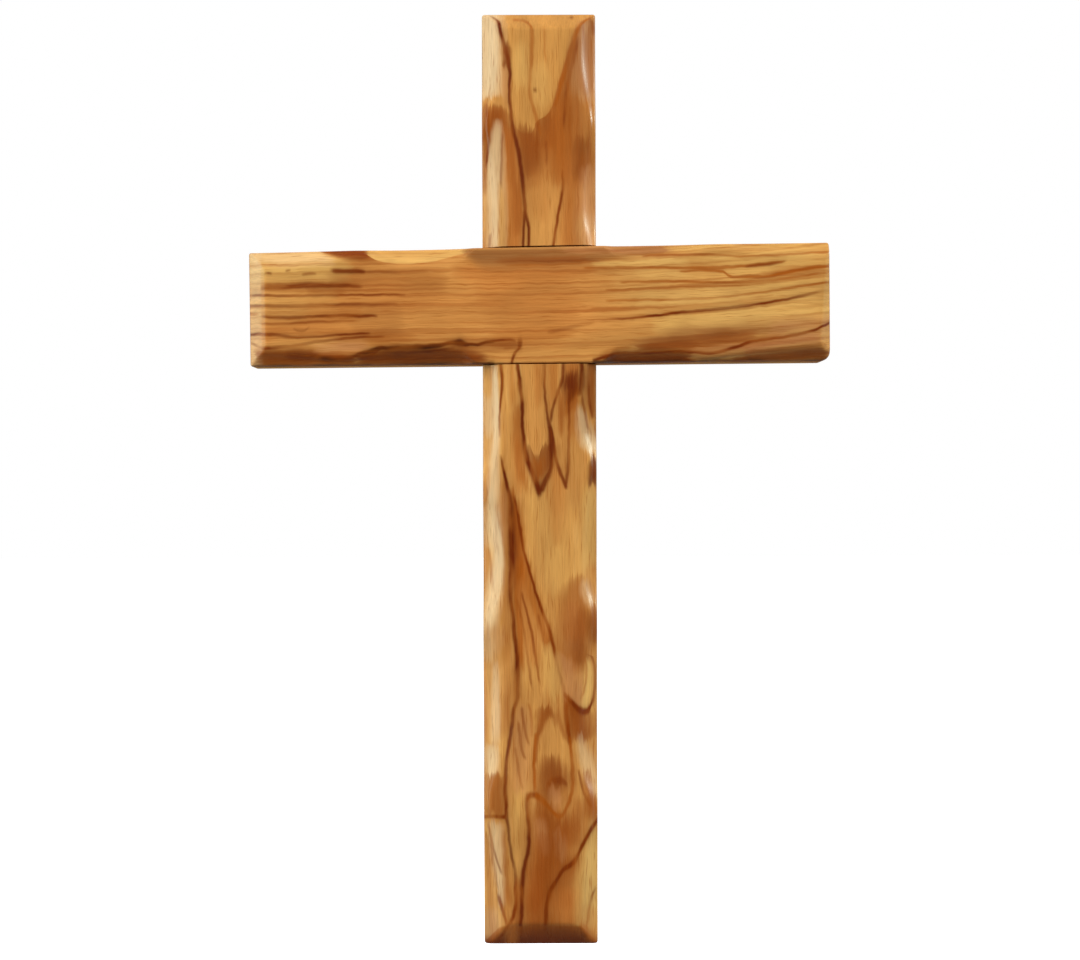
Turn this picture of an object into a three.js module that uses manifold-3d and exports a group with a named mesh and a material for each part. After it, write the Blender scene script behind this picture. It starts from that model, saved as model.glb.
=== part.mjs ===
// Wall cross of two olive wood bars, halved together where they cross. The front edges of both
// bars are carved with rows of shallow hollows that meet in crests, and the ends are bevelled flat.
// A sawtooth hanger is let into the back of the upright.
// Millimetres. X runs to the viewer's right, Z up and Y into the wall: the wall plane is Y = 0
// and the carved front faces -Y. The origin is on the upright's back, in the middle of the crossing.
import * as THREE from "three";
import { mergeVertices } from "three/addons/utils/BufferGeometryUtils.js";
import Module from "manifold-3d";

// The two bars
const UPRIGHT_LENGTH = 254;
const UPRIGHT_WIDTH = 31;
const BEAM_LENGTH = 158.4;
const BEAM_WIDTH_LEFT = 31; // the crossbeam is a little wider at its right end
const BEAM_WIDTH_RIGHT = 32.2;
const BAR_THICKNESS = 18;
const CROSSING_BELOW_TOP = 79.6; // from the top of the upright to the middle of the crossing
const BEAM_TILT_DEG = 0.63; // fitted by eye: the right arm stands this much high

// The halved joint. Its cheeks meet face to face and its shoulders have this gap.
const LAP_DEPTH = 9; // wood taken from the front of the upright
const LAP_CLEARANCE = 0.25;

// Every edge that isn't carved is eased this much
const SANDED_ARRIS = 0.35;
const CORNER_RADIUS = 0.6;
const WORN_CORNER_RADIUS = 2.4; // lower right corner of the crossbeam

// Carved hollows. Each runs from one place to another along its bar, measured from the crossing,
// and is as wide as this across the front at its deepest, which lies at a share of its length.
// One that starts or ends past the bar's end, or inside the crossing, is cut off there.
const CREST_WIDTH = 0.8; // what is left of the bevel on the crest between two hollows
const DEPTH_FOR_WIDTH = 0.85; // a hollow goes this much as far down the side as across the front
const HOLLOW_SAG = 0.3; // how far a hollow is scooped below a flat bevel
const CREST_LEAN = 1.5; // a crest runs this far along the bar as it crosses the bevel
const RUN_OUT = 6; // the crossbeam's hollows die away over this length beside the upright
const UPRIGHT_LEFT_HOLLOWS = [
  { from: 96, to: 51, width: 5.3, deepest: 0.55 },
  { from: 51, to: 4, width: 5.2, deepest: 0.6 },
  { from: -4, to: -48, width: 5, deepest: 0.5 },
  { from: -48, to: -86, width: 6.6, deepest: 0.62 },
  { from: -86, to: -134, width: 5.4, deepest: 0.62 },
  { from: -134, to: -204, width: 6, deepest: 0.5 },
];
const UPRIGHT_RIGHT_HOLLOWS = [
  { from: 96, to: 51, width: 5, deepest: 0.6 },
  { from: 51, to: 14, width: 4.6, deepest: 0.68 },
  { from: -8, to: -42.5, width: 5.2, deepest: 0.62 },
  { from: -42.5, to: -84, width: 5, deepest: 0.7 },
  { from: -84, to: -135.5, width: 6, deepest: 0.72 },
  { from: -135.5, to: -204, width: 5.4, deepest: 0.5 },
];
const BEAM_TOP_HOLLOWS = [
  { from: -108, to: -47.5, width: 3.8, deepest: 0.5 },
  { from: -47.5, to: -14, width: 3.7, deepest: 0.4 },
  { from: 14, to: 49, width: 2.8, deepest: 0.5 },
  { from: 49, to: 112, width: 3, deepest: 0.5 },
];
const BEAM_BOTTOM_HOLLOWS = [
  { from: -108, to: -54, width: 4.6, deepest: 0.5 },
  { from: -54, to: -12, width: 4.6, deepest: 0.5 },
  { from: 12, to: 45.5, width: 3.6, deepest: 0.5 },
  { from: 45.5, to: 112, width: 4.2, deepest: 0.52 },
];

// Flat bevels at the bars' ends: across the front, down the end, and how far one is turned
const UPRIGHT_TOP_BEVEL = { width: 4.2, depth: 3.6 };
const UPRIGHT_BOTTOM_BEVEL = { width: 6.2, depth: 4 };
const BEAM_LEFT_BEVEL = { width: 4.8, depth: 4 };
const BEAM_RIGHT_BEVEL = { width: 2, depth: 1.8, skewDeg: 4.6 };

// Sawtooth hanger, its pocket and its nails
const HANGER_BELOW_TOP = 21; // from the top of the upright to the hanger's middle
const HANGER_LENGTH = 21;
const HANGER_HEIGHT = 7;
const HANGER_GAUGE = 0.9;
const HANGER_RISE = 1.7; // the toothed middle stands this far off the pocket's floor
const HANGER_BEND_RUN = 1.8;
const HANGER_TAB_LENGTH = 4.4; // flat end under each nail head
const TOOTH_PITCH = 1.7;
const TOOTH_DEPTH = 1.2;
const POCKET_MARGIN = 1.2; // between the hanger and the pocket's wall
const POCKET_BELOW_HANGER = 8; // room below the teeth for the head of the wall nail
const POCKET_DEPTH = 3.6;
const POCKET_CORNER_RADIUS = 3; // left by the cutter
const NAIL_SHANK_DIAMETER = 1.4;
const NAIL_LENGTH = 9;
const NAIL_POINT_LENGTH = 2;
const NAIL_HEAD_DIAMETER = 3.4;
const NAIL_HEAD_HEIGHT = 0.8;
const NAIL_CLEARANCE = 0.3; // round the shank, in the hanger and in the wood

// Fineness of the faceted surfaces
const STATION_PITCH = 2;
const ARC_STEPS = 6;
const ROUND_SIDES = 20;
const OVERRUN = 1; // how far a cutter passes the surface that it cuts

const wasm = await Module();
wasm.setup();

const FRONT = -BAR_THICKNESS;
const TOP = CROSSING_BELOW_TOP;
const BOTTOM = CROSSING_BELOW_TOP - UPRIGHT_LENGTH;
const BEAM_TILT = THREE.MathUtils.degToRad(BEAM_TILT_DEG);
const CHEEK_Y = FRONT + LAP_DEPTH; // where the two bars' cheeks meet
const X = new THREE.Vector3(1, 0, 0);
const Y = new THREE.Vector3(0, 1, 0);
const Z = new THREE.Vector3(0, 0, 1);
const LAY_IN_XZ = new THREE.Matrix4().makeBasis(X, Z, Y.clone().negate());
const LAY_IN_YZ = new THREE.Matrix4().makeBasis(Y, Z, X);

function shift(x, y, z) {
  return new THREE.Matrix4().makeTranslation(x, y, z);
}

function turnAboutY(angle) {
  return new THREE.Matrix4().makeRotationY(angle);
}

// A closed geometry as a solid, placed by matrices that are applied from the last to the first.
function solidFrom(geometry, ...places) {
  const place = places.reduce((whole, next) => whole.multiply(next), new THREE.Matrix4());
  const bare = geometry.clone().applyMatrix4(place);
  bare.deleteAttribute("normal");
  bare.deleteAttribute("uv");
  const merged = mergeVertices(bare, 1e-4);
  return new wasm.Manifold(
    new wasm.Mesh({
      numProp: 3,
      vertProperties: new Float32Array(merged.attributes.position.array),
      triVerts: new Uint32Array(merged.index.array),
    }),
  );
}

// A solid as a geometry that can be drawn.
function geometryFrom(solid) {
  const { numProp, numVert, vertProperties, triVerts } = solid.getMesh();
  const positions = new Float32Array(numVert * 3);
  for (let i = 0; i < numVert; i++) {
    positions.set(vertProperties.subarray(i * numProp, i * numProp + 3), i * 3);
  }
  const geometry = new THREE.BufferGeometry();
  geometry.setAttribute("position", new THREE.BufferAttribute(positions, 3));
  geometry.setIndex(new THREE.BufferAttribute(triVerts, 1));
  const faceted = geometry.toNonIndexed();
  faceted.computeVertexNormals();
  return faceted;
}

// An outline in the XZ plane, made solid from y = yFrom to y = yTo and turned about Y.
function slab(shape, yFrom, yTo, turn = 0) {
  const geometry = new THREE.ExtrudeGeometry(shape, {
    depth: yTo - yFrom,
    bevelEnabled: false,
    curveSegments: ARC_STEPS,
  });
  return solidFrom(geometry, turnAboutY(turn), shift(0, yTo, 0), LAY_IN_XZ);
}

// An outline through the given corners with its own radius at each.
function roundedOutline(corners, radii) {
  const shape = new THREE.Shape();
  corners.forEach((corner, i) => {
    const before = corners[(i + corners.length - 1) % corners.length];
    const after = corners[(i + 1) % corners.length];
    const start = corner.clone().add(before.clone().sub(corner).setLength(radii[i]));
    const end = corner.clone().add(after.clone().sub(corner).setLength(radii[i]));
    if (i === 0) shape.moveTo(start.x, start.y);
    else shape.lineTo(start.x, start.y);
    shape.quadraticCurveTo(corner.x, corner.y, end.x, end.y);
  });
  shape.closePath();
  return shape;
}

// The corners of an upright outline from its lower left, with its own half width at each end.
function taperedCorners(bottom, top, halfBottom, halfTop) {
  return [
    new THREE.Vector2(-halfBottom, bottom),
    new THREE.Vector2(halfBottom, bottom),
    new THREE.Vector2(halfTop, top),
    new THREE.Vector2(-halfTop, top),
  ];
}

function rectangle(halfWidth, bottom, top, radius) {
  const corners = taperedCorners(bottom, top, halfWidth, halfWidth);
  return roundedOutline(corners, [radius, radius, radius, radius]);
}

// How far a hollow is cut at s along its bar: 0 at its ends and 1 where it is deepest.
function cutAt(s, { from, to, deepest }) {
  const share = (s - from) / (to - from);
  const beyondDeepest = (share - deepest) / (share < deepest ? deepest : 1 - deepest);
  return Math.max(0, 1 - beyondDeepest ** 2);
}

// The carved bevel along one edge at s: its width, depth and scoop. keep is the share of the
// carving that a run-out leaves there, and past it only the sanded arris is left.
function bevelAt(s, hollows, keep) {
  const fullness = (at) => {
    const wide = hollows.map((hollow) => cutAt(at, hollow) * (hollow.width - CREST_WIDTH));
    return Math.max(0, ...wide);
  };
  const carved = (at) => (CREST_WIDTH + fullness(at)) * keep;
  return {
    width: Math.max(SANDED_ARRIS, carved(s)),
    depth: Math.max(SANDED_ARRIS, carved(s + CREST_LEAN) * DEPTH_FOR_WIDTH),
    sag: HOLLOW_SAG * Math.min(1, fullness(s + CREST_LEAN / 2)) * keep,
  };
}

// The bar's section as [x, y] pairs that run once round it from its back left corner.
function barSection(halfWidth, left, right) {
  const edge = (bevel, sign) => {
    const across = (share) => {
      const scoop = bevel.sag * Math.sin(Math.PI * share) * Math.SQRT1_2;
      const x = sign * (halfWidth - bevel.width * share - scoop);
      return [x, FRONT + bevel.depth * (1 - share) + scoop];
    };
    return [
      [sign * (halfWidth - SANDED_ARRIS), 0],
      [sign * halfWidth, -SANDED_ARRIS],
      ...[0, 0.3, 0.65, 1].map(across),
    ];
  };
  return [...edge(left, -1), ...edge(right, 1).reverse()];
}

// Skins a row of equal rings of points and closes both ends with a fan about the ring's middle.
function loft(rings) {
  const count = rings[0].length;
  const ends = [rings[0], rings[rings.length - 1]];
  const middles = ends.map((ring) =>
    ring.reduce((sum, p) => sum.add(p), new THREE.Vector3()).divideScalar(count),
  );
  const positions = [...rings.flat(), ...middles].flatMap((p) => [p.x, p.y, p.z]);
  const last = (rings.length - 1) * count;
  const [firstMiddle, lastMiddle] = [last + count, last + count + 1];
  const faces = [];
  for (let j = 0; j < count; j++) {
    const next = (j + 1) % count;
    for (let start = 0; start < last; start += count) {
      const [a, b] = [start + j, start + next];
      faces.push(a, b, a + count, b, b + count, a + count);
    }
    faces.push(next, j, firstMiddle, last + j, last + next, lastMiddle);
  }
  const geometry = new THREE.BufferGeometry();
  geometry.setAttribute("position", new THREE.Float32BufferAttribute(positions, 3));
  geometry.setIndex(faces);
  return geometry;
}

// Evenly spaced places from start to end, at about STATION_PITCH.
function stations(start, end) {
  const count = Math.ceil((end - start) / STATION_PITCH);
  return Array.from({ length: count + 1 }, (_, i) => start + ((end - start) * i) / count);
}

// The wedge that bevels a bar's end at z = end. A turned bevel is narrow at one side of the bar.
function endBevelCutter(end, { width, depth, skewDeg = 0 }, span) {
  const shape = new THREE.Shape();
  shape.moveTo(-OVERRUN, OVERRUN);
  shape.lineTo(-OVERRUN, -width - (OVERRUN * width) / depth);
  shape.lineTo(depth + (OVERRUN * depth) / width, OVERRUN);
  shape.closePath();
  const geometry = new THREE.ExtrudeGeometry(shape, { depth: span, bevelEnabled: false });
  const facing = turnAboutY(end < 0 ? Math.PI : 0);
  const skew = turnAboutY(THREE.MathUtils.degToRad(skewDeg));
  return solidFrom(
    geometry,
    shift(0, FRONT, end),
    facing,
    skew,
    shift(-span / 2, 0, 0),
    LAY_IN_YZ,
  );
}

// A carved bar along Z. Its widths, outline and hollows are its own.
function carvedBar({ bottom, top, widths, radii, hollows, keepAt, bevels }) {
  const [widthBottom, widthTop] = widths;
  const halfWidthAt = (z) =>
    THREE.MathUtils.mapLinear(z, bottom, top, widthBottom, widthTop) / 2;
  const rings = stations(bottom - OVERRUN, top + OVERRUN).map((z) => {
    const [left, right] = hollows.map((row) => bevelAt(z, row, keepAt(z)));
    return barSection(halfWidthAt(z), left, right).map(([x, y]) => new THREE.Vector3(x, y, z));
  });
  const corners = taperedCorners(bottom, top, widthBottom / 2, widthTop / 2);
  const blank = slab(roundedOutline(corners, radii), FRONT, 0);
  const span = 2 * Math.max(widthBottom, widthTop);
  return solidFrom(loft(rings))
    .intersect(blank)
    .subtract(endBevelCutter(bottom, bevels[0], span))
    .subtract(endBevelCutter(top, bevels[1], span));
}

const HALF_BEAM_LENGTH = BEAM_LENGTH / 2;
const HALF_UPRIGHT = UPRIGHT_WIDTH / 2;
const BEAM_SPAN = 2 * Math.max(BEAM_WIDTH_LEFT, BEAM_WIDTH_RIGHT);

// The crossbeam is drawn upright, with its left end down and its top edge to the left, and
// turned by this into its place.
const BEAM_TURN = Math.PI / 2 - BEAM_TILT;

function makeUpright() {
  const bar = carvedBar({
    bottom: BOTTOM,
    top: TOP,
    widths: [UPRIGHT_WIDTH, UPRIGHT_WIDTH],
    radii: [CORNER_RADIUS, CORNER_RADIUS, CORNER_RADIUS, CORNER_RADIUS],
    hollows: [UPRIGHT_LEFT_HOLLOWS, UPRIGHT_RIGHT_HOLLOWS],
    keepAt: () => 1,
    bevels: [UPRIGHT_BOTTOM_BEVEL, UPRIGHT_TOP_BEVEL],
  });
  const beamSpace = taperedCorners(
    -HALF_BEAM_LENGTH,
    HALF_BEAM_LENGTH,
    BEAM_WIDTH_LEFT / 2 + LAP_CLEARANCE,
    BEAM_WIDTH_RIGHT / 2 + LAP_CLEARANCE,
  );
  const lap = slab(new THREE.Shape(beamSpace), FRONT - OVERRUN, CHEEK_Y, BEAM_TURN);
  const cutters = [lap, hangerPocket(), ...pilotHoles()];
  return geometryFrom(cutters.reduce((solid, cutter) => solid.subtract(cutter), bar));
}

// The share of the crossbeam's carving that is left at z along it.
function beamKeepAt(z) {
  return THREE.MathUtils.smoothstep(Math.abs(z) - HALF_UPRIGHT, 0, RUN_OUT);
}

function makeCrossbeam() {
  const bar = carvedBar({
    bottom: -HALF_BEAM_LENGTH,
    top: HALF_BEAM_LENGTH,
    widths: [BEAM_WIDTH_LEFT, BEAM_WIDTH_RIGHT],
    radii: [CORNER_RADIUS, CORNER_RADIUS, WORN_CORNER_RADIUS, CORNER_RADIUS],
    hollows: [BEAM_TOP_HOLLOWS, BEAM_BOTTOM_HOLLOWS],
    keepAt: beamKeepAt,
    bevels: [BEAM_LEFT_BEVEL, BEAM_RIGHT_BEVEL],
  });
  const reach = HALF_UPRIGHT + LAP_CLEARANCE;
  const uprightSpace = rectangle(reach, -BEAM_SPAN, BEAM_SPAN, CORNER_RADIUS);
  return geometryFrom(bar.subtract(slab(uprightSpace, CHEEK_Y, OVERRUN, -BEAM_TURN)));
}

const HANGER_Z = TOP - HANGER_BELOW_TOP;
const NAIL_SPACING = HANGER_LENGTH - HANGER_TAB_LENGTH;
const NAIL_HOLE_RADIUS = NAIL_SHANK_DIAMETER / 2 + NAIL_CLEARANCE;
const nailPlaces = { left: -NAIL_SPACING / 2, right: NAIL_SPACING / 2 };

// The pocket in the upright's back, with room for the hanger and for a nail head below it.
function hangerPocket() {
  const low = HANGER_Z - HANGER_HEIGHT / 2 - POCKET_BELOW_HANGER;
  const high = HANGER_Z + HANGER_HEIGHT / 2 + POCKET_MARGIN;
  const outline = rectangle(HANGER_LENGTH / 2 + POCKET_MARGIN, low, high, POCKET_CORNER_RADIUS);
  return slab(outline, -POCKET_DEPTH, OVERRUN);
}

// A round cutter along Y, from y = yFrom to y = yTo.
function roundCutter(x, z, yFrom, yTo) {
  const length = yTo - yFrom;
  const geometry = new THREE.CylinderGeometry(
    NAIL_HOLE_RADIUS,
    NAIL_HOLE_RADIUS,
    length,
    ROUND_SIDES,
  );
  return solidFrom(geometry, shift(x, (yFrom + yTo) / 2, z));
}

// Holes in the wood for the hanger's nails.
function pilotHoles() {
  const end = HANGER_GAUGE - POCKET_DEPTH - NAIL_LENGTH - NAIL_CLEARANCE;
  return Object.values(nailPlaces).map((x) =>
    roundCutter(x, HANGER_Z, end, OVERRUN - POCKET_DEPTH),
  );
}

// The hanger's bent strip, seen from above: two flat tabs and a raised middle.
function hangerStrip() {
  const end = HANGER_LENGTH / 2;
  const foot = end - HANGER_TAB_LENGTH;
  const knee = foot - HANGER_BEND_RUN;
  const under = [
    new THREE.Vector2(-end, 0),
    new THREE.Vector2(-foot, 0),
    new THREE.Vector2(-knee, HANGER_RISE),
    new THREE.Vector2(knee, HANGER_RISE),
    new THREE.Vector2(foot, 0),
    new THREE.Vector2(end, 0),
  ];
  const over = under.map(({ x, y }) => new THREE.Vector2(x, y + HANGER_GAUGE)).reverse();
  const height = HANGER_HEIGHT + 2 * OVERRUN;
  const geometry = new THREE.ExtrudeGeometry(new THREE.Shape([...under, ...over]), {
    depth: height,
    bevelEnabled: false,
  });
  return solidFrom(geometry, shift(0, 0, -height / 2));
}

// The hanger's outline, seen from behind: round ends, and teeth along the raised lower edge.
function hangerOutline() {
  const radius = HANGER_HEIGHT / 2;
  const middle = HANGER_LENGTH / 2 - radius;
  const toothedLength = HANGER_LENGTH - 2 * (HANGER_TAB_LENGTH + HANGER_BEND_RUN);
  const teeth = Math.max(1, Math.floor(toothedLength / TOOTH_PITCH));
  const firstTooth = (-teeth * TOOTH_PITCH) / 2;
  const shape = new THREE.Shape();
  shape.moveTo(-middle, -radius);
  for (let i = 0; i < teeth; i++) {
    const start = firstTooth + i * TOOTH_PITCH;
    shape.lineTo(start, -radius);
    shape.lineTo(start + TOOTH_PITCH / 2, TOOTH_DEPTH - radius);
  }
  shape.lineTo(firstTooth + teeth * TOOTH_PITCH, -radius);
  shape.absarc(middle, 0, radius, -Math.PI / 2, Math.PI / 2, false);
  shape.absarc(-middle, 0, radius, Math.PI / 2, (3 * Math.PI) / 2, false);
  return shape;
}

function makeHanger() {
  const top = HANGER_RISE + HANGER_GAUGE + OVERRUN;
  const strip = hangerStrip().intersect(slab(hangerOutline(), -OVERRUN, top));
  const holes = Object.values(nailPlaces).map((x) => roundCutter(x, 0, -OVERRUN, top));
  return geometryFrom(holes.reduce((solid, hole) => solid.subtract(hole), strip));
}

// A round-headed nail along Y, with the underside of its head at y = 0 and its point at -Y.
function makeNail() {
  const shank = NAIL_SHANK_DIAMETER / 2;
  const head = NAIL_HEAD_DIAMETER / 2;
  const dome = new THREE.QuadraticBezierCurve(
    new THREE.Vector2(head, NAIL_HEAD_HEIGHT * 0.35),
    new THREE.Vector2(head * 0.8, NAIL_HEAD_HEIGHT),
    new THREE.Vector2(0, NAIL_HEAD_HEIGHT),
  );
  const profile = [
    new THREE.Vector2(0, -NAIL_LENGTH),
    new THREE.Vector2(shank, NAIL_POINT_LENGTH - NAIL_LENGTH),
    new THREE.Vector2(shank, 0),
    new THREE.Vector2(head, 0),
    ...dome.getPoints(ARC_STEPS),
  ];
  return new THREE.LatheGeometry(profile, ROUND_SIDES);
}

const oliveWood = new THREE.MeshStandardMaterial({ color: 0xc98d4f, roughness: 0.4, metalness: 0 });
const brassPlate = new THREE.MeshStandardMaterial({ color: 0xb8935a, roughness: 0.35, metalness: 1 });

function addMesh(parent, name, geometry, material) {
  const mesh = new THREE.Mesh(geometry, material);
  mesh.name = name;
  parent.add(mesh);
  return mesh;
}

const cross = new THREE.Group();
addMesh(cross, "upright", makeUpright(), oliveWood);
addMesh(cross, "crossbeam", makeCrossbeam(), oliveWood).rotation.y = BEAM_TURN;

const hanging = new THREE.Group();
hanging.position.set(0, -POCKET_DEPTH, HANGER_Z);
cross.add(hanging);
addMesh(hanging, "sawtooth_hanger", makeHanger(), brassPlate);
for (const [side, x] of Object.entries(nailPlaces)) {
  const nail = addMesh(hanging, `hanger_nail_${side}`, makeNail(), brassPlate);
  nail.position.set(x, HANGER_GAUGE, 0);
}

export default cross;
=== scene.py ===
"""Looks of a wall cross: two bars of oiled olive wood, halved together, with a brass hanger.

The bars are modelled again here from the sizes of the CAD part, with smooth carved hollows, and
stand for its plain ones. Sizes are millimetres in the part's own frame: X to the viewer's right,
Z up, the wall at Y = 0 and the carved front facing -Y. Blender gets metres.
"""

import logging
import math
from dataclasses import dataclass
from enum import Enum
from typing import Any, ClassVar, Sequence

import bmesh
import bpy
import numpy as np
from mathutils import Matrix, Vector


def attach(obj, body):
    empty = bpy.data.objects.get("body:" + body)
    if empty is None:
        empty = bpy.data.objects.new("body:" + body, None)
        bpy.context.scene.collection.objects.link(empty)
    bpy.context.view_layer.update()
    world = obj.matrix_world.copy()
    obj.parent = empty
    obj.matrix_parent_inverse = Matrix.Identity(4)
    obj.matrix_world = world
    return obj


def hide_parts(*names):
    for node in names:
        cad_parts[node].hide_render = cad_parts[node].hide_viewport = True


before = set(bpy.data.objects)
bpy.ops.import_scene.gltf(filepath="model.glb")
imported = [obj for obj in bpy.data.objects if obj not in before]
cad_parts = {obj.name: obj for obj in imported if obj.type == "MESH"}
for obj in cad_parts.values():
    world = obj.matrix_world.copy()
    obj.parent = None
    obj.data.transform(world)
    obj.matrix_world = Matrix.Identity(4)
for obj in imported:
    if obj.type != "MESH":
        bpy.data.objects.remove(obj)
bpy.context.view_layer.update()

log = logging.getLogger("wall_cross")

Socket = bpy.types.NodeSocket
Point = tuple[float, float, float]

MM = 0.001

# Driving sizes of the CAD part
FRONT = -18.0  # the plane of the carved front
UPRIGHT_TOP = 79.6  # above the middle of the crossing
UPRIGHT_BOTTOM = -174.4
UPRIGHT_WIDTH = 31.0
BEAM_END = 79.2  # from the middle of the crossing to either end
BEAM_WIDTH_LEFT = 31.0
BEAM_WIDTH_RIGHT = 32.2
BEAM_TILT = math.radians(0.63)  # the right arm stands this much high
LAP_CLEARANCE = 0.25


def linear(hex_colour: str) -> tuple[float, float, float, float]:
    """Turns an sRGB hex colour to the linear one that Blender's nodes and lamps take.

    Args:
        hex_colour: Six hex digits, such as "D09852".

    Returns:
        Red, green and blue from 0 to 1, and an alpha of 1.
    """
    shares = [int(hex_colour[i : i + 2], 16) / 255 for i in (0, 2, 4)]
    red, green, blue = (
        v / 12.92 if v <= 0.04045 else ((v + 0.055) / 1.055) ** 2.4 for v in shares
    )
    return red, green, blue, 1.0


@dataclass
class Graph:
    """A material's or the world's nodes, added one by one in the order that they are used."""

    tree: bpy.types.NodeTree

    def add(self, kind: str, inputs: dict[Any, Any] | None = None, **settings: Any) -> bpy.types.Node:
        """Adds one node with its settings and links.

        Args:
            kind: The node's type, without "ShaderNode".
            inputs: A value, or a socket to link from, for each input by name or place.
            **settings: The node's own settings.

        Returns:
            The new node.
        """
        node = self.tree.nodes.new(f"ShaderNode{kind}")
        for name, value in settings.items():
            setattr(node, name, value)
        for key, value in (inputs or {}).items():
            if isinstance(value, bpy.types.NodeSocket):
                self.tree.links.new(value, node.inputs[key])
            else:
                node.inputs[key].default_value = value
        return node

    def out(self, kind: str, inputs: dict[Any, Any] | None = None, **settings: Any) -> Socket:
        """Adds one node and returns its first output that is switched on."""
        node = self.add(kind, inputs, **settings)
        return next(socket for socket in node.outputs if socket.enabled)

    def math(self, operation: str, *values: Any) -> Socket:
        """The result of one operation on numbers and sockets."""
        return self.out("Math", dict(enumerate(values)), operation=operation)

    def vector(self, operation: str, *values: Any) -> Socket:
        """The result of one operation on vectors."""
        return self.out("VectorMath", dict(enumerate(values)), operation=operation)

    def scaled(self, vector: Socket, factor: Any) -> Socket:
        """A vector or colour times a number."""
        return self.out("VectorMath", {0: vector, "Scale": factor}, operation="SCALE")

    def millimetres(self) -> Socket:
        """The place on the piece, in millimetres in its own frame."""
        return self.scaled(self.add("TexCoord").outputs["Object"], 1 / MM)

    def noise(self, place: Socket, scale: float, detail: float) -> Socket:
        """Noise with so many lumps to the millimetre."""
        return self.out("TexNoise", {"Vector": place, "Scale": scale, "Detail": detail})

    def remap(
        self, value: Socket, start: float, end: float, low: Any = 0.0, high: Any = 1.0, **settings: Any
    ) -> Socket:
        """Turns a range of values to another one.

        Args:
            value: The value.
            start: The value that turns to low.
            end: The value that turns to high.
            low: What comes out at the start and before it.
            high: What comes out at the end and past it.
            **settings: The node's own settings.

        Returns:
            The new value.
        """
        ranges = {"From Min": start, "From Max": end, "To Min": low, "To Max": high}
        return self.out("MapRange", {"Value": value} | ranges, **settings)

    def mix(self, factor: Any, below: Any, above: Any, **settings: Any) -> Socket:
        """A colour laid over another one."""
        return self.out("Mix", {"Factor": factor, "A": below, "B": above}, data_type="RGBA", **settings)

    def ramp(self, value: Socket, *stops: tuple[float, str]) -> Socket:
        """Turns a value to a colour.

        Args:
            value: The value.
            *stops: The ramp's stops, as (value, sRGB hex).

        Returns:
            The ramp's colour there.
        """
        node = self.add("ValToRGB", {"Fac": value})
        elements = node.color_ramp.elements
        while len(elements) < len(stops):
            elements.new(0.5)
        for element, (position, colour) in zip(elements, stops):
            element.position = position
            element.color = linear(colour)
        return node.outputs["Color"]


def new_graph(material: bpy.types.Material) -> Graph:
    """Empties a material's nodes.

    Args:
        material: The material.

    Returns:
        Its nodes, as a graph.
    """
    material.use_nodes = True
    material.node_tree.nodes.clear()
    return Graph(material.node_tree)


# Figure: the coloured streaks of the wood


class Tone(Enum):
    """The colours of old olive wood under oil, as sRGB hex. The cream tone is also painted sheen and painted
    highlights on the carved hollows, and the grey-brown tone is a painted reflection over brown wood.
    """

    # Pale wood, and painted sheen and painted highlights on the hollows
    CREAM = "DEB986"
    STRAW = "D8A458"
    GOLD = "E2B062"
    SUN = "C88C45"
    HONEY = "C98B46"
    CLAY = "BF804C"
    # Brown wood under a painted grey reflection
    GREY_BROWN = "AE7848"
    TAN = "CC8843"
    AMBER = "B76A2C"
    RUST = "A04E0C"
    RUSSET = "904008"
    UMBER = "762A00"
    VEIN = "621A00"
    PITCH = "3A0C00"
    SMOKE = "9A6232"


class Edge(Enum):
    """How a streak's colour falls off from its middle to one half width and beyond.

    Each value lists (place in half widths, share of the colour) across the streak.
    """

    LINE = ((-5, 0), (-2, 0.2), (-1, 0.78), (-0.5, 1), (0.5, 1), (1, 0.78), (2, 0.2), (5, 0))
    BAND = ((-1.2, 0), (-0.85, 1), (0.85, 1), (1.2, 0))
    ZONE = ((-1.7, 0), (-1, 0.5), (-0.4, 0.95), (0, 1), (0.4, 0.95), (1, 0.5), (1.7, 0))
    PATCH = ((-1.08, 0), (-0.93, 1), (0.93, 1), (1.08, 0))
    CRISP_HIGH = ((-1.5, 0), (0.5, 0.95), (0.9, 1), (1.15, 0))


@dataclass(frozen=True)
class Streak:
    """One streak of colour on a bar's front, drawn along or across the grain.

    Attributes:
        tone: The name of its colour in Tone.
        strength: How much of what lies below it covers.
        edge: Its fall-off to the sides.
        path: Its points, from either end, each as "along across width": the places along and across
            its course and the half width there, in millimetres.
        across: Whether its course runs across the grain.
        fade: Length over which it fades at each end.
    """

    tone: str
    strength: float
    edge: Edge
    path: str
    across: bool = False
    fade: float = 2.0

    def points(self) -> list[Point]:
        """Its points as numbers."""
        return [tuple(float(number) for number in point.split()) for point in self.path.split(",")]


def vein(tone: str, strength: float, path: str, **more: Any) -> Streak:
    """A thin dark line of the wood's figure."""
    return Streak(tone, strength, Edge.LINE, path, **more)


def patch(tone: str, strength: float, path: str, **more: Any) -> Streak:
    """An area of colour with a clear edge."""
    return Streak(tone, strength, Edge.PATCH, path, **more)


def band(tone: str, strength: float, path: str, **more: Any) -> Streak:
    """An even area of colour with a slightly soft edge."""
    return Streak(tone, strength, Edge.BAND, path, **more)


def zone(tone: str, strength: float, path: str, **more: Any) -> Streak:
    """An area of colour with a soft edge that the fibres fray."""
    return Streak(tone, strength, Edge.ZONE, path, **({"fade": 6.0} | more))


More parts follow.
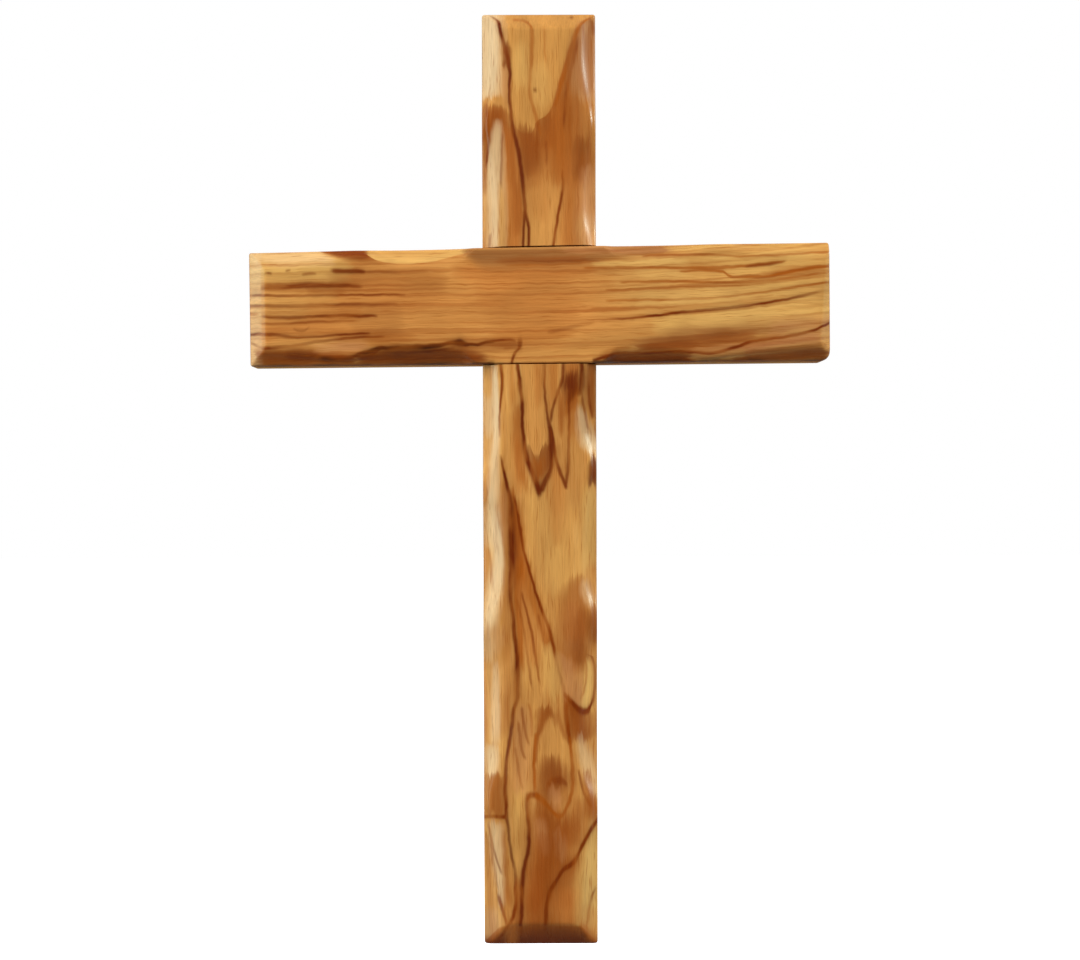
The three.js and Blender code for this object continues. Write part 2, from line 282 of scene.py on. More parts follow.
UPRIGHT_FIGURE: tuple[Streak, ...] = (
    # Upper arm, its broad colours
    zone("RUSSET", 0.72, "81 13.5 2.6, 74 11.5 4.2, 66 9 7, 58 7.5 8.5, 50 5 11, 44 4.5 11, 38 5.5 9, "
         "31 8 6", fade=9),
    zone("AMBER", 0.8, "42 9.6 5, 34 8.8 4.4, 24 8.4 4, 12 8.2 4"),
    zone("HONEY", 0.92, "43 1.6 2, 37 1.5 3, 30 1.5 3.7, 22 1.2 3.6, 12 .6 3.6", fade=8),
    patch("SUN", 0.95, "81 1.2 13.2, 78.5 1.2 12.6, 77 .5 10.9, 75.2 0 10.1, 73 -.3 9.7, 70 -1 8.9, "
          "66 -1.1 7.9, 62 -1.2 6.9, 59.5 -1.5 6.4, 56 -1.9 5.9, 53.5 -2.2 5.3, 51.4 -2.8 4.5, 49.8 -4 3.2, "
          "48 -3.6 2.2, 46.4 -3.2 .8", fade=1.2),
    # Painted reflection: a grey veil over the brown of the upper right hollow, then painted shade beside it
    # that dims the lamp's highlight
    zone("GREY_BROWN", 0.9, "78.5 13.6 1.6, 72 12.5 2.9, 65 12.3 3.2, 59 12.8 2.6, 55 13.6 1.6", fade=4),
    zone("RUSSET", 0.4, "76 14 1.4, 70 13.6 2.2, 64 13.6 2.4, 57 13.8 1.8"),
    zone("UMBER", 0.6, "49 -4 1, 46 -3.2 2.8, 43 -2.4 3.6, 39 -2 3, 34.5 -2.4 1.6", fade=4),
    zone("UMBER", 0.4, "52 3.4 1.4, 48 2.8 2.2, 43 3.6 1.6"),
    zone("RUST", 0.6, "58 7 1.5, 52 6 3, 45 5.4 4, 38 4.6 3, 32 4.8 1.4"),
    zone("RUSSET", 0.45, "50 -5 1, 44 -3 3, 38 -1.4 3, 31 -2 1.4", fade=5),
    zone("UMBER", 0.55, "46 11.2 1.6, 41 12 2.2, 37 11.9 2.2, 33 11.4 1.2", fade=4),
    zone("STRAW", 0.7, "26 12.6 .6, 22 12.4 1.5, 18 13 1.6, 13 13.6 1.4", fade=3),
    zone("GOLD", 0.45, "72 -5 1.4, 65 -4.8 2.2, 58 -4.2 1.8"),
    zone("GOLD", 0.35, "67 .4 1.2, 60 .4 2.4, 53 .6 1.6"),
    # Painted highlight: pale cream where the right hollow catches the light
    zone("CREAM", 0.4, "25 13.6 .6, 20 13.6 1.4, 13 14 1.2", fade=3),
    zone("CLAY", 0.75, "38 13.8 1.8, 30 13.2 2.2, 22 13 2.4, 12 13.6 2.2", fade=5),
    # Pale wood with painted sheen along the left hollow
    zone("CREAM", 1, "82 -13.8 3.4, 72 -13.3 3, 62 -13.2 2.8, 56 -13.4 2.6", fade=2.5),
    zone("CLAY", 0.6, "67 -9.4 .9, 60 -9 1.1, 54 -8.6 .8"),
    zone("RUSSET", 0.9, "54.5 -14.6 1.2, 53 -12.4 3, 51 -12 4, 48 -11.8 4, 44 -11.6 3.8", fade=3),
    zone("AMBER", 0.85, "49 -8.2 1.4, 42 -7.8 2, 34 -7 2.2, 24 -6.8 2.2, 12 -7.2 2", fade=4),
    zone("RUSSET", 0.5, "50 -8.6 .9, 42 -7.6 1, 34 -6.6 1.2, 26 -6 1.4, 18 -6.4 .9"),
    # Pale wood with painted sheen along the left hollow
    zone("CREAM", 0.85, "50 -11.4 .8, 44 -11.6 1.6, 36 -11.9 2.3, 26 -11.6 2.1, 12 -11.9 1.9", fade=5),
    zone("RUSSET", 0.6, "50 -14.6 1, 40 -14.7 .9, 30 -14.9 .7"),
    zone("SUN", 0.8, "34 -10.2 .6, 26 -10.1 .9, 12 -10.2 .9"),
    # Upper arm, its veins
    vein("VEIN", 0.9, "79.4 -13.4 .24, 78.4 -12 .32, 77.2 -10.9 .4, 73.5 -10.1 .4, 69.5 -9.1 .44, "
         "65.5 -8 .4, 61 -7.9 .36, 57 -7.9 .36, 53 -7.7 .36, 49 -7.3 .4, 45 -6.4 .44, 41 -5.3 .48, "
         "36 -4.6 .44, 31 -4.1 .4, 27 -3.9 .36, 24 -3.6 .36, 20 -2.9 .32, 12 -3.2 .28"),
    zone("UMBER", 0.85, "71 -8.7 .5, 68.5 -8.5 .9, 66 -8.7 .9, 64 -8.3 .5", fade=2),
    vein("VEIN", 0.85, "26 -4.1 .28, 20 -4.4 .28, 12 -4.6 .24"),
    vein("RUST", 0.8, "78.9 14.6 .32, 76.4 11.4 .44, 73.6 10 .48, 69 8.8 .56, 65 7.8 .48, 61 6.5 .48, "
         "57 5.4 .4, 53.5 4.3 .32"),
    vein("UMBER", 0.7, "73 10.8 .32, 68 9.7 .4, 62 8.5 .36, 56 7.5 .32, 48 6.7 .24", fade=5),
    vein("UMBER", 0.6, "78.6 13.9 .24, 77.4 14.6 .4, 74 15.1 .4"),
    vein("RUST", 0.4, "50.6 .6 .32, 51.3 2 .32, 52.4 3.2 .32"),
    vein("RUST", 0.6, "-7.2 77.9 .32, -5.4 77.8 .32, -3.6 77.4 .36, -2.4 76.3 .4, -1.6 74.5 .32",
         across=True, fade=1),
    vein("RUST", 0.6, "76 -2.2 .32, 73.9 -1.8 .36, 68 -1.9 .36, 60 -2.4 .36, 57 -2.2 .36, 54.6 -1.6 .36, "
         "49.6 -.4 .4, 46 .4 .32"),
    vein("RUST", 0.4, "75.8 1.5 .2, 73.5 1.5 .24, 70.5 1.6 .16, 66 2 .16"),
    vein("VEIN", 0.7, "58.9 -1 .32, 57.7 -.9 .32", fade=0.5),
    vein("VEIN", 0.6, "79 9 .36, 78.1 9 .36", fade=0.4),
    vein("UMBER", 0.85, "37 6.3 .16, 32 6.4 .24, 29 6 .28, 25 5.2 .28, 22 4.8 .28, 19 4.3 .28, 12 3.5 .28"),
    vein("UMBER", 0.75, "53 -13.9 .32, 48 -13.8 .36, 44 -13.8 .32, 38 -14.2 .24"),
    vein("UMBER", 0.5, "47 -9.9 .24, 41 -10 .28, 32 -10.2 .2"),
    vein("UMBER", 0.5, "55 -12.4 .24, 48 -12.8 .24"),
    vein("UMBER", 0.5, "20 -13.5 .24, 12 -13.5 .24"),
    vein("UMBER", 0.45, "50 -.4 .24, 44 -.6 .28, 38 -.4 .24", fade=3),
    vein("UMBER", 0.4, "45 1.9 .24, 42 2 .28, 38 2.1 .2"),
    # Under the crossing, its broad colours
    # Pale wood with painted sheen along the left hollow
    zone("CREAM", 0.95, "-16 -12 .5, -22 -11.9 .8, -30 -11.6 .9, -38 -11.9 1, -44 -12.3 1.2, -50 -12.6 1.4, "
         "-56 -12.8 1.5", fade=5),
    zone("AMBER", 0.45, "-34 -6.8 .8, -40 -6.4 1.2, -47 -6 1.2, -52 -5.6 .8"),
    zone("UMBER", 0.75, "-37.5 0 4, -41 0 3.7, -44 0 3, -47 0 2, -50 0 1, -52.5 0 .5", fade=2.5),
    zone("RUST", 0.5, "-42 -.6 1.6, -45 -.4 1.2, -48 0 .6", fade=1.5),
    patch("HONEY", 0.92, "-14 -2.2 3, -24 -1.5 2.6, -32 -1.3 2.6, -36 -1.2 2.1, -39 -.9 1.3, -41.4 -.7 .5",
          fade=1.5),
    zone("RUST", 0.4, "-12 -8 .8, -20 -7.4 1, -28 -7 .8"),
    zone("RUST", 0.6, "-26 -5.8 .8, -34 -6 1.3, -44 -5.2 1.3, -52 -3.2 .7"),
    zone("RUST", 0.55, "-12 3.8 1.5, -20 3.6 1.4, -28 3.8 1"),
    zone("RUST", 0.4, "-13 -.4 1.2, -20 -.2 1.3, -28 -.2 .8"),
    zone("UMBER", 0.6, "-34 2.9 .5, -39 2.7 .7, -43 2.6 .9, -45.5 2.2 .7", fade=2.5),
    zone("RUSSET", 0.7, "-13 8.6 1.8, -19 8.6 2.2, -25 8.6 1.8, -30 7.4 1", fade=5),
    zone("RUSSET", 0.7, "-22 6 .8, -28 6 .9, -36 5.8 .5"),
    zone("RUST", 0.4, "-24 9 1, -30 9 1.4, -36 9 .9"),
    zone("RUSSET", 0.7, "-13 14.4 .9, -20 13.8 1.3, -25 14.1 1.1, -31 14.8 .6", fade=3),
    zone("STRAW", 0.75, "-49 13.6 2, -60 13.6 2, -72 13.6 1.8", fade=5),
    zone("STRAW", 0.5, "-46 2 3, -56 2.6 5, -68 4.4 5, -80 5.6 3", fade=9),
    zone("RUST", 0.4, "-44 4.2 1, -50 4.6 1.7, -58 4.6 1.8, -66 4.8 1"),
    # Under the crossing, its veins
    vein("UMBER", 0.85, "-13 -11.1 .28, -18 -10.3 .32, -21 -10 .28, -24 -10.3 .24, -29 -10.8 .2, "
         "-36 -11 .16", fade=4),
    vein("VEIN", 0.9, "-13 -6.2 .36, -19 -5.7 .4, -23 -5.1 .4, -27 -4.7 .4, -31 -4.7 .36, -34 -4.6 .4, "
         "-38 -4.3 .48, -41 -3.6 .6, -44.5 -2.5 .6, -47.5 -1.4 .6, -49.5 -.6 .6, -52.5 0 .32"),
    vein("VEIN", 0.85, "-51.4 .1 .48, -49 .9 .6, -46.5 2.2 .56, -44.5 3 .4, -42 3.2 .4, -38 3.1 .4, "
         "-34.5 2.8 .44, -32 2.7 .32", fade=1),
    vein("VEIN", 0.8, "-33 2.7 .32, -30 2.2 .28, -27 1.8 .28, -24 1.5 .28, -21 1.3 .28, -13 1.3 .28"),
    vein("VEIN", 0.8, "-32 3 .28, -28 3.6 .28, -25.5 4.4 .28, -23 5.2 .32, -21 6 .32, -18 6.3 .32, "
         "-13 6.3 .32"),
    vein("VEIN", 0.88, "-33 3 .28, -38 3.8 .36, -42 4.4 .36, -45.5 5.4 .4, -47.5 6.3 .36, -49.8 7.1 .28",
         fade=0.8),
    vein("VEIN", 0.82, "-24 8 .24, -34 8 .28, -38 7.9 .32, -42 7.8 .32, -46 7.4 .32, -49.8 7 .24",
         fade=0.8),
    zone("VEIN", 0.95, "-17.5 8.6 .9, -21 8.4 1.9, -23.5 8.8 1.5, -27 8 .6", fade=3),
    # Painted highlight: pale cream where the right hollow catches the light
    zone("CREAM", 0.95, "-27 10.8 .6, -33 12 1.8, -37 13.2 2, -40.5 14.4 1.2", fade=3),
    vein("VEIN", 0.85, "-13 10.9 .4, -18 11.4 .48, -21 11.4 .56, -23.5 11 .64, -25 10.6 .32"),
    vein("UMBER", 0.65, "-21 13.2 .24, -25 13.6 .24, -31 14.6 .24"),
    vein("UMBER", 0.6, "-24 11.6 .24, -30 12.6 .28, -34.5 13.4 .24"),
    zone("VEIN", 0.9, "-40.8 15 .6, -44 14.7 1.2, -47 14.6 1.3, -49.4 14.8 .8", fade=2),
    # Along the stem: the long vein, the slanting one and what lies between them
    # Pale wood with painted sheen along the left hollow
    zone("CREAM", 0.9, "-54 -12.6 1.3, -60 -12 1.6, -68 -11.6 1.4, -76 -12.2 1.7, -83 -13.2 1.8, "
         "-88 -13.6 1.4", fade=5),
    zone("AMBER", 0.5, "-46 -15 .8, -60 -15.2 1, -76 -15.3 .8"),
    zone("RUSSET", 0.3, "-86 -13.6 2, -91 -12.4 3.4, -95 -12 3.4, -99 -12.6 2", fade=4),
    zone("CLAY", 0.35, "-96 -12 1.6, -104 -12 2.4, -112 -12.2 2.4, -118 -12.6 1.6"),
    # Pale wood with painted sheen along the left hollow
    zone("CREAM", 0.5, "-96 -12 .5, -104 -11.9 .9, -112 -12 1, -120 -12.3 1.2", fade=5),
    # Painted highlight in the left hollow, over pale wood
    zone("CREAM", 0.8, "-119 -13.2 1, -124 -13 1.8, -129 -13.4 1.2", fade=3),
    zone("AMBER", 0.5, "-92 -15.2 .8, -106 -15.2 1, -120 -15.3 .8"),
    zone("RUSSET", 0.3, "-46 -9.8 .8, -56 -9.4 .9, -66 -9.4 .9, -76 -9.4 1, -84 -9.4 1.5, -92 -8.8 1.6, "
         "-100 -7.8 1.5, -108 -9 1.4, -118 -10 1.2"),
    zone("CLAY", 0.5, "-50 -10 .9, -57 -10 1.4, -65 -10 1"),
    zone("RUST", 0.85, "-50 -7.6 .6, -56 -6.7 1.1, -62 -6.2 1.4, -68 -5.8 1.5, -73 -5.8 1.5, -80 -6.2 1.1, "
         "-92 -5.6 1, -100 -5 .9"),
    zone("UMBER", 0.5, "-54 -7.2 .5, -62 -6.8 1, -70 -6.8 1, -78 -7 .6"),
    zone("RUST", 0.75, "-68 -4.8 1.4, -73 -4 2, -78 -2.6 1.9, -83 -1 1.7, -88 .6 1.6, -92 1.9 1.4, "
         "-95 2.6 .9", fade=5),
    zone("AMBER", 0.6, "-74 -5.4 1, -84 -4 1.6, -92 -2.4 2, -99 -2 1.4"),
    vein("RUST", 0.45, "-66 -14 .24, -72 -13.4 .28, -78 -12.8 .24"),
    vein("RUST", 0.35, "-54 -11.4 .2, -62 -11.8 .24, -68 -11.4 .2"),
    vein("RUST", 0.4, "-44 -13.8 .24, -52 -14.3 .24"),
    vein("VEIN", 0.9, "-41 -10.5 .2, -45 -9.8 .28, -49 -8.9 .36, -53 -8.1 .48, -57 -7.9 .56, -62 -7.8 .68, "
         "-66 -7.8 .76, -70 -7.9 .68, -73 -8 .56, -76 -8.1 .48, -80 -8 .44, -84 -7.6 .4, -89 -7.2 .44, "
         "-94 -6.6 .44, -98 -6.3 .44, -102 -6.1 .44, -105.5 -6.1 .44, -108 -6.6 .4, -110.5 -7.4 .4, "
         "-113 -7.7 .36, -117 -8.2 .36, -121 -8.7 .36, -125 -9.2 .36, -128 -9.4 .36, -133 -9.4 .4, "
         "-138 -9.2 .4, -142 -8.8 .32, -147 -8.2 .28, -151 -7.5 .28, -155 -6.8 .32, -160 -6.8 .32, "
         "-164 -7.1 .36, -167 -8 .4, -170 -9.7 .4, -174 -12.4 .4"),
    vein("UMBER", 0.9, "-52 -6.9 .2, -56 -6.2 .24, -60 -5.5 .28, -64 -5 .28, -68 -4.3 .28, -71 -3.4 .28, "
         "-75 -2.1 .28, -79 -.8 .32, -83 .5 .36, -86 1.6 .36, -90 2.9 .4, -94 3.9 .32, -98 4.7 .28, "
         "-102 5.7 .32, -105 6.6 .4, -108 7 .48, -112 7.2 .48, -116 7.6 .44, -120 8 .32"),
    vein("UMBER", 0.7, "-78 -5 .2, -84 -3.6 .24, -90 -2.3 .28, -94 -1.7 .28, -98 -1 .24, -103 -.2 .2"),
    vein("UMBER", 0.5, "-80 -6.2 .2, -87 -4.8 .24, -96 -3.5 .24, -104 -2.4 .2"),
    vein("UMBER", 0.5, "-84 -.6 .2, -90 .6 .24, -95 1.5 .24"),
    vein("RUST", 0.5, "-108 -3.4 .24, -112 -2.6 .28, -118 -2.2 .24"),
    zone("RUSSET", 0.68, "-72.5 11.4 1, -76 10.2 2.6, -80 10 4, -85 10 5, -90 9.8 5.4, -94 9.6 5, "
         "-98 9.8 3.6, -101 10.2 2", fade=5),
    zone("CLAY", 0.2, "-80 9 1.6, -88 8.4 2.6, -96 8.4 2.2"),
    zone("UMBER", 0.45, "-82 11.4 1, -87 11 1.8, -94 10.4 1.8, -99 10.4 .8"),
    # Painted highlight: pale cream where the right hollow catches the light
    zone("CREAM", 0.3, "-74 12.2 .5, -78 12.6 1.3, -82 14 1.2", fade=2.5),
    zone("UMBER", 0.7, "-82 14.8 1, -87 14.6 1.4, -93 14.8 1.2", fade=4),
    zone("CLAY", 0.7, "-95 6 1.6, -100 7.6 2.6, -104 9 3, -107 10 2.6, -109.5 11.2 1.4", fade=3),
    zone("STRAW", 0.95, "-96.5 12.7 .5, -100 13.1 .9, -105 13 1.1, -109.6 12.2 1.2", fade=1.5),
    vein("RUST", 0.5, "-95.5 12 .16, -99 12.5 .2, -103 12.3 .2, -107 11.4 .24"),
    vein("UMBER", 0.6, "-94.8 12.2 .24, -96 14 .28, -99.5 14.8 .28, -104 14.9 .28, -109 14.4 .32", fade=1),
    zone("RUSSET", 0.9, "-106.5 7.6 .8, -109 8.4 1.6, -112 10.2 3.4, -115.5 10.8 3.6, -119 11.4 2.4",
         fade=3),
    vein("UMBER", 0.95, "6.4 -105.6 .48, 8.5 -107.8 .72, 10.2 -109.8 .8, 12 -110.9 .8, 13.4 -110.2 .72, "
         "14.6 -107.6 .48", across=True, fade=0.8),
    # Painted highlight: pale cream where the right hollow catches the light
    zone("CREAM", 0.42, "-116 10.8 .5, -120 11.6 1.3, -124 12.6 1.7, -128 13.8 1.7, -132 14.8 1.1, "
         "-135 15.4 .5", fade=4),
    zone("CLAY", 0.55, "-108 -4.6 1, -116 -5 2.4, -126 -5.2 2.8, -134 -5.6 1.6"),
    vein("UMBER", 0.55, "-109 -5.2 .25, -114 -4.6 .3, -120 -3 .25", fade=1.5),
    vein("UMBER", 0.5, "-113 -6.2 .25, -119 -5.4 .3, -124 -4 .25", fade=1.5),
    vein("UMBER", 0.45, "-120 -6.8 .25, -126 -6 .3, -132 -4.8 .25", fade=1.5),
    # The arch and the dark eye
    zone("STRAW", 0.55, "-92 1.6 1, -97 2.8 1.8, -103 3.4 2.2, -108 4.4 1.6", fade=4),
    zone("RUSSET", 0.8, "-109 1.6 1.2, -111 1.4 2.2, -113 .4 1.2, -116 -.4 .8, -120 -1.2 .6, -125 -1.6 .5",
         fade=1.8),
    zone("RUSSET", 0.45, "-110.4 3.2 1.2, -113 4.6 1.2, -115.5 5.9 .9, -119 7.4 .6", fade=1.8),
    zone("HONEY", 0.7, "-115 2.6 1, -119 3 2.6, -123 3.4 3.2", fade=3),
    vein("RUST", 0.8, "-117 8 .32, -122 8.3 .32, -127 8.4 .36, -131 8.3 .36, -134 7.8 .36, -136.5 7 .36, "
         "-139.4 5.6 .32"),
    zone("RUSSET", 0.6, "-122 2.6 2.2, -130 3 4.6, -137 3.6 4.8"),
    zone("UMBER", 0.6, "-122.5 2.6 1.2, -126 3.2 2.6, -129 3.4 3.4, -132.5 2.4 2.6, -135 1.6 1.4", fade=4),
    vein("UMBER", 0.6, "1.4 -130.8 .48, 3 -129.6 .72, 5 -129.2 .8, 7 -130.4 .48", across=True, fade=0.8),
    zone("CLAY", 0.6, "-130.5 3 .6, -134 4 1.4, -138 4.4 1", fade=3),
    # Foot
    zone("RUSSET", 0.7, "-127 -11.6 1.4, -130 -12.2 2.8, -135 -12.4 2.9, -139.2 -12.4 2.9", fade=2),
    vein("UMBER", 0.9, "-16 -139.4 .36, -12.5 -139.1 .4, -9.3 -139.2 .44", across=True, fade=0.5),
    zone("STRAW", 0.5, "-132 -6.4 1.2, -142 -6 2, -150 -5.8 1.6, -158 -5.8 .8"),
    # Pale wood with painted sheen along the left hollow
    zone("CREAM", 0.7, "-140.4 -12.2 1.6, -146 -12 1.8, -152 -11.6 1.6, -158 -11 1.1, -164 -10.6 .7",
         fade=2.5),
    # Pale wood with painted sheen along the left hollow
    zone("CREAM", 0.4, "-164 -13.4 1, -169 -13.6 1.6, -174 -14 1.4", fade=3),
    zone("RUSSET", 0.5, "-144 -14.6 .8, -154 -14.2 1, -166 -13.4 1.2, -174 -13 1.6"),
    zone("RUSSET", 0.5, "-142 -9.8 .8, -152 -9.2 .9, -164 -8.6 .8"),
    vein("UMBER", 0.55, "-141 -14.2 .24, -148 -12.8 .28, -155 -10.4 .24"),
    vein("UMBER", 0.4, "-146 -13.8 .2, -154 -12.4 .24, -160 -11.4 .2"),
    vein("UMBER", 0.8, "-160 -11.6 .28, -163 -10.9 .4, -166 -10 .32, -169 -9.3 .24"),
    zone("RUSSET", 0.85, "-134 .4 1.6, -139 1.6 4.6, -144 3 6.4, -149 3 6.6, -154 1.6 6, -160 -.4 4.8, "
         "-168 -1.6 3.8, -178 -1.8 3.8"),
    zone("RUSSET", 0.6, "-133 12.6 1.8, -138 10.6 3.6, -143 8.4 4, -148 6.5 4"),
    zone("CLAY", 0.5, "-139 -1 1.4, -144 .4 1.6, -150 1 1"),
    zone("CLAY", 0.4, "-142 4.4 .8, -148 5.4 1.2, -152 5.6 .8"),
    zone("RUSSET", 0.5, "-143 1.5 2, -150 .5 3, -158 -1 3, -166 -2 2", fade=5),
    zone("RUSSET", 0.6, "-149 11 1.6, -154 8.6 3, -160 6.4 3.4, -165 5 2.6", fade=5),
    zone("AMBER", 0.8, "-158 8 3.4, -166 6.6 4.8, -178 6.6 5.4", fade=5),
    zone("RUSSET", 0.6, "-155 -5.8 .8, -164 -6.2 1, -173 -7.6 1.6"),
    zone("RUSSET", 0.4, "-156 -8.8 1, -163 -9 1.6, -171 -9.4 1.8"),
    zone("STRAW", 0.95, "-142.5 15.4 .9, -147 13.8 2, -152 13.2 2.5, -160 12.9 2.7, -170 12.6 2.6", fade=3),
    zone("GOLD", 0.6, "-147 14.6 .9, -153 14 1.4, -162 14 1.4, -170 14 1.2", fade=4),
    zone("RUSSET", 0.7, "-126 12.2 .8, -131 13 1.3, -136 13.8 1.5, -141 14.4 1.2", fade=5),
    vein("UMBER", 0.65, "-126 10.1 .24, -131 11 .28, -134 12.2 .32, -137 13.6 .28"),
    vein("UMBER", 0.6, "-159 14.9 .24, -163 13.3 .28, -169 12.4 .24"),
    vein("RUST", 0.8, "-116 -1.2 .24, -124 -1.8 .28, -128 -1.7 .32, -131 -1.6 .32, -132.6 -1.8 .32"),
    vein("VEIN", 0.88, "-132.6 -3 .48, -134 -3.5 .52, -136 -3.7 .48, -139 -3.5 .4, -143 -3.2 .4, "
         "-148 -3.4 .4, -151.5 -4.1 .44, -155 -4.6 .44, -160 -5.1 .4, -165 -5.4 .4, -170 -5.8 .4, "
         "-175 -6 .4", fade=0.8),
    vein("UMBER", 0.95, "-3.8 -134.6 .45, -2.8 -133.4 .6, -1.6 -133.3 .6, -.2 -134.1 .5", across=True,
         fade=0.6),
    vein("RUST", 0.85, "-1.6 -133.3 .7, -.2 -134.1 .8, 1 -135.2 .7, 2.4 -136.8 .6, 3.6 -138.2 .5, "
         "4.8 -139 .5, 6.2 -138.6 .4", across=True, fade=0.6),
    vein("UMBER", 0.95, "1 -166 .78, 1.6 -162.5 .78, 2.5 -159.6 .73, 3.6 -157.6 .67, 5 -155.2 .67, "
         "6.3 -153.4 .62, 8 -152.2 .67, 9.6 -150.6 .78, 11 -147.6 .84, 13 -143.8 .78, 15.4 -140 .62",
         across=True, fade=0.3),
    vein("UMBER", 0.95, "-157 3.8 .4, -160.5 2.2 .44, -164 1.5 .4, -169 1.1 .36, -175 .8 .32"),
    # Painted shade: the foot's bevel faces down and darkens towards its lower edge, in red-brown, dark brown
    # and near black
    band("RUST", 0.7, "-15.5 -174.6 .8, -9.6 -172.5 3.2, 9.6 -172.5 3.2, 15 -174.6 .8", across=True,
         fade=0.3),
    vein("VEIN", 0.9, "-16 -175.4 1.8, -6 -175 3.2, 6 -175 3.6, 16 -175.4 1.9", across=True, fade=0.3),
    vein("PITCH", 0.6, "-16 -176.4 .8, -6 -176.4 1.4, 6 -176.4 1.5, 16 -176.4 .8", across=True, fade=0.3),
    zone("AMBER", 0.6, "-168 -8 1, -171 -8 1.4, -175 -8.4 1.4", fade=1),
    # Weak glazes over its length; the cream ones along the left edge are pale wood with painted sheen
    zone("CREAM", 0.4, "72 -13.8 1.6, 65 -13.6 2.4, 58 -13.8 1.6"),
    zone("AMBER", 0.3, "38 0 2, 30 0 3, 22 0 2"),
    zone("RUST", 0.25, "-22 9 2, -30 9 3, -38 9 2"),
    zone("AMBER", 0.25, "-42 4.5 2, -50 4.5 2.6, -58 4.5 2"),
    zone("CREAM", 0.4, "-24 -13.8 1.6, -30 -13.6 2.2, -36 -13.8 1.6", fade=4),
    zone("CREAM", 0.4, "-54 -13.8 1.6, -60 -13.6 2.4, -67 -13.8 1.6"),
    zone("RUST", 0.25, "-80 9 2, -86 9 3, -92 9 2"),
    zone("CREAM", 0.35, "-84 -13.8 1.6, -90 -13.6 2.4, -97 -13.8 1.6"),
    zone("AMBER", 0.4, "-164 13.8 1.6, -169 13.6 2.2, -174 13.8 1.6", fade=2),
)

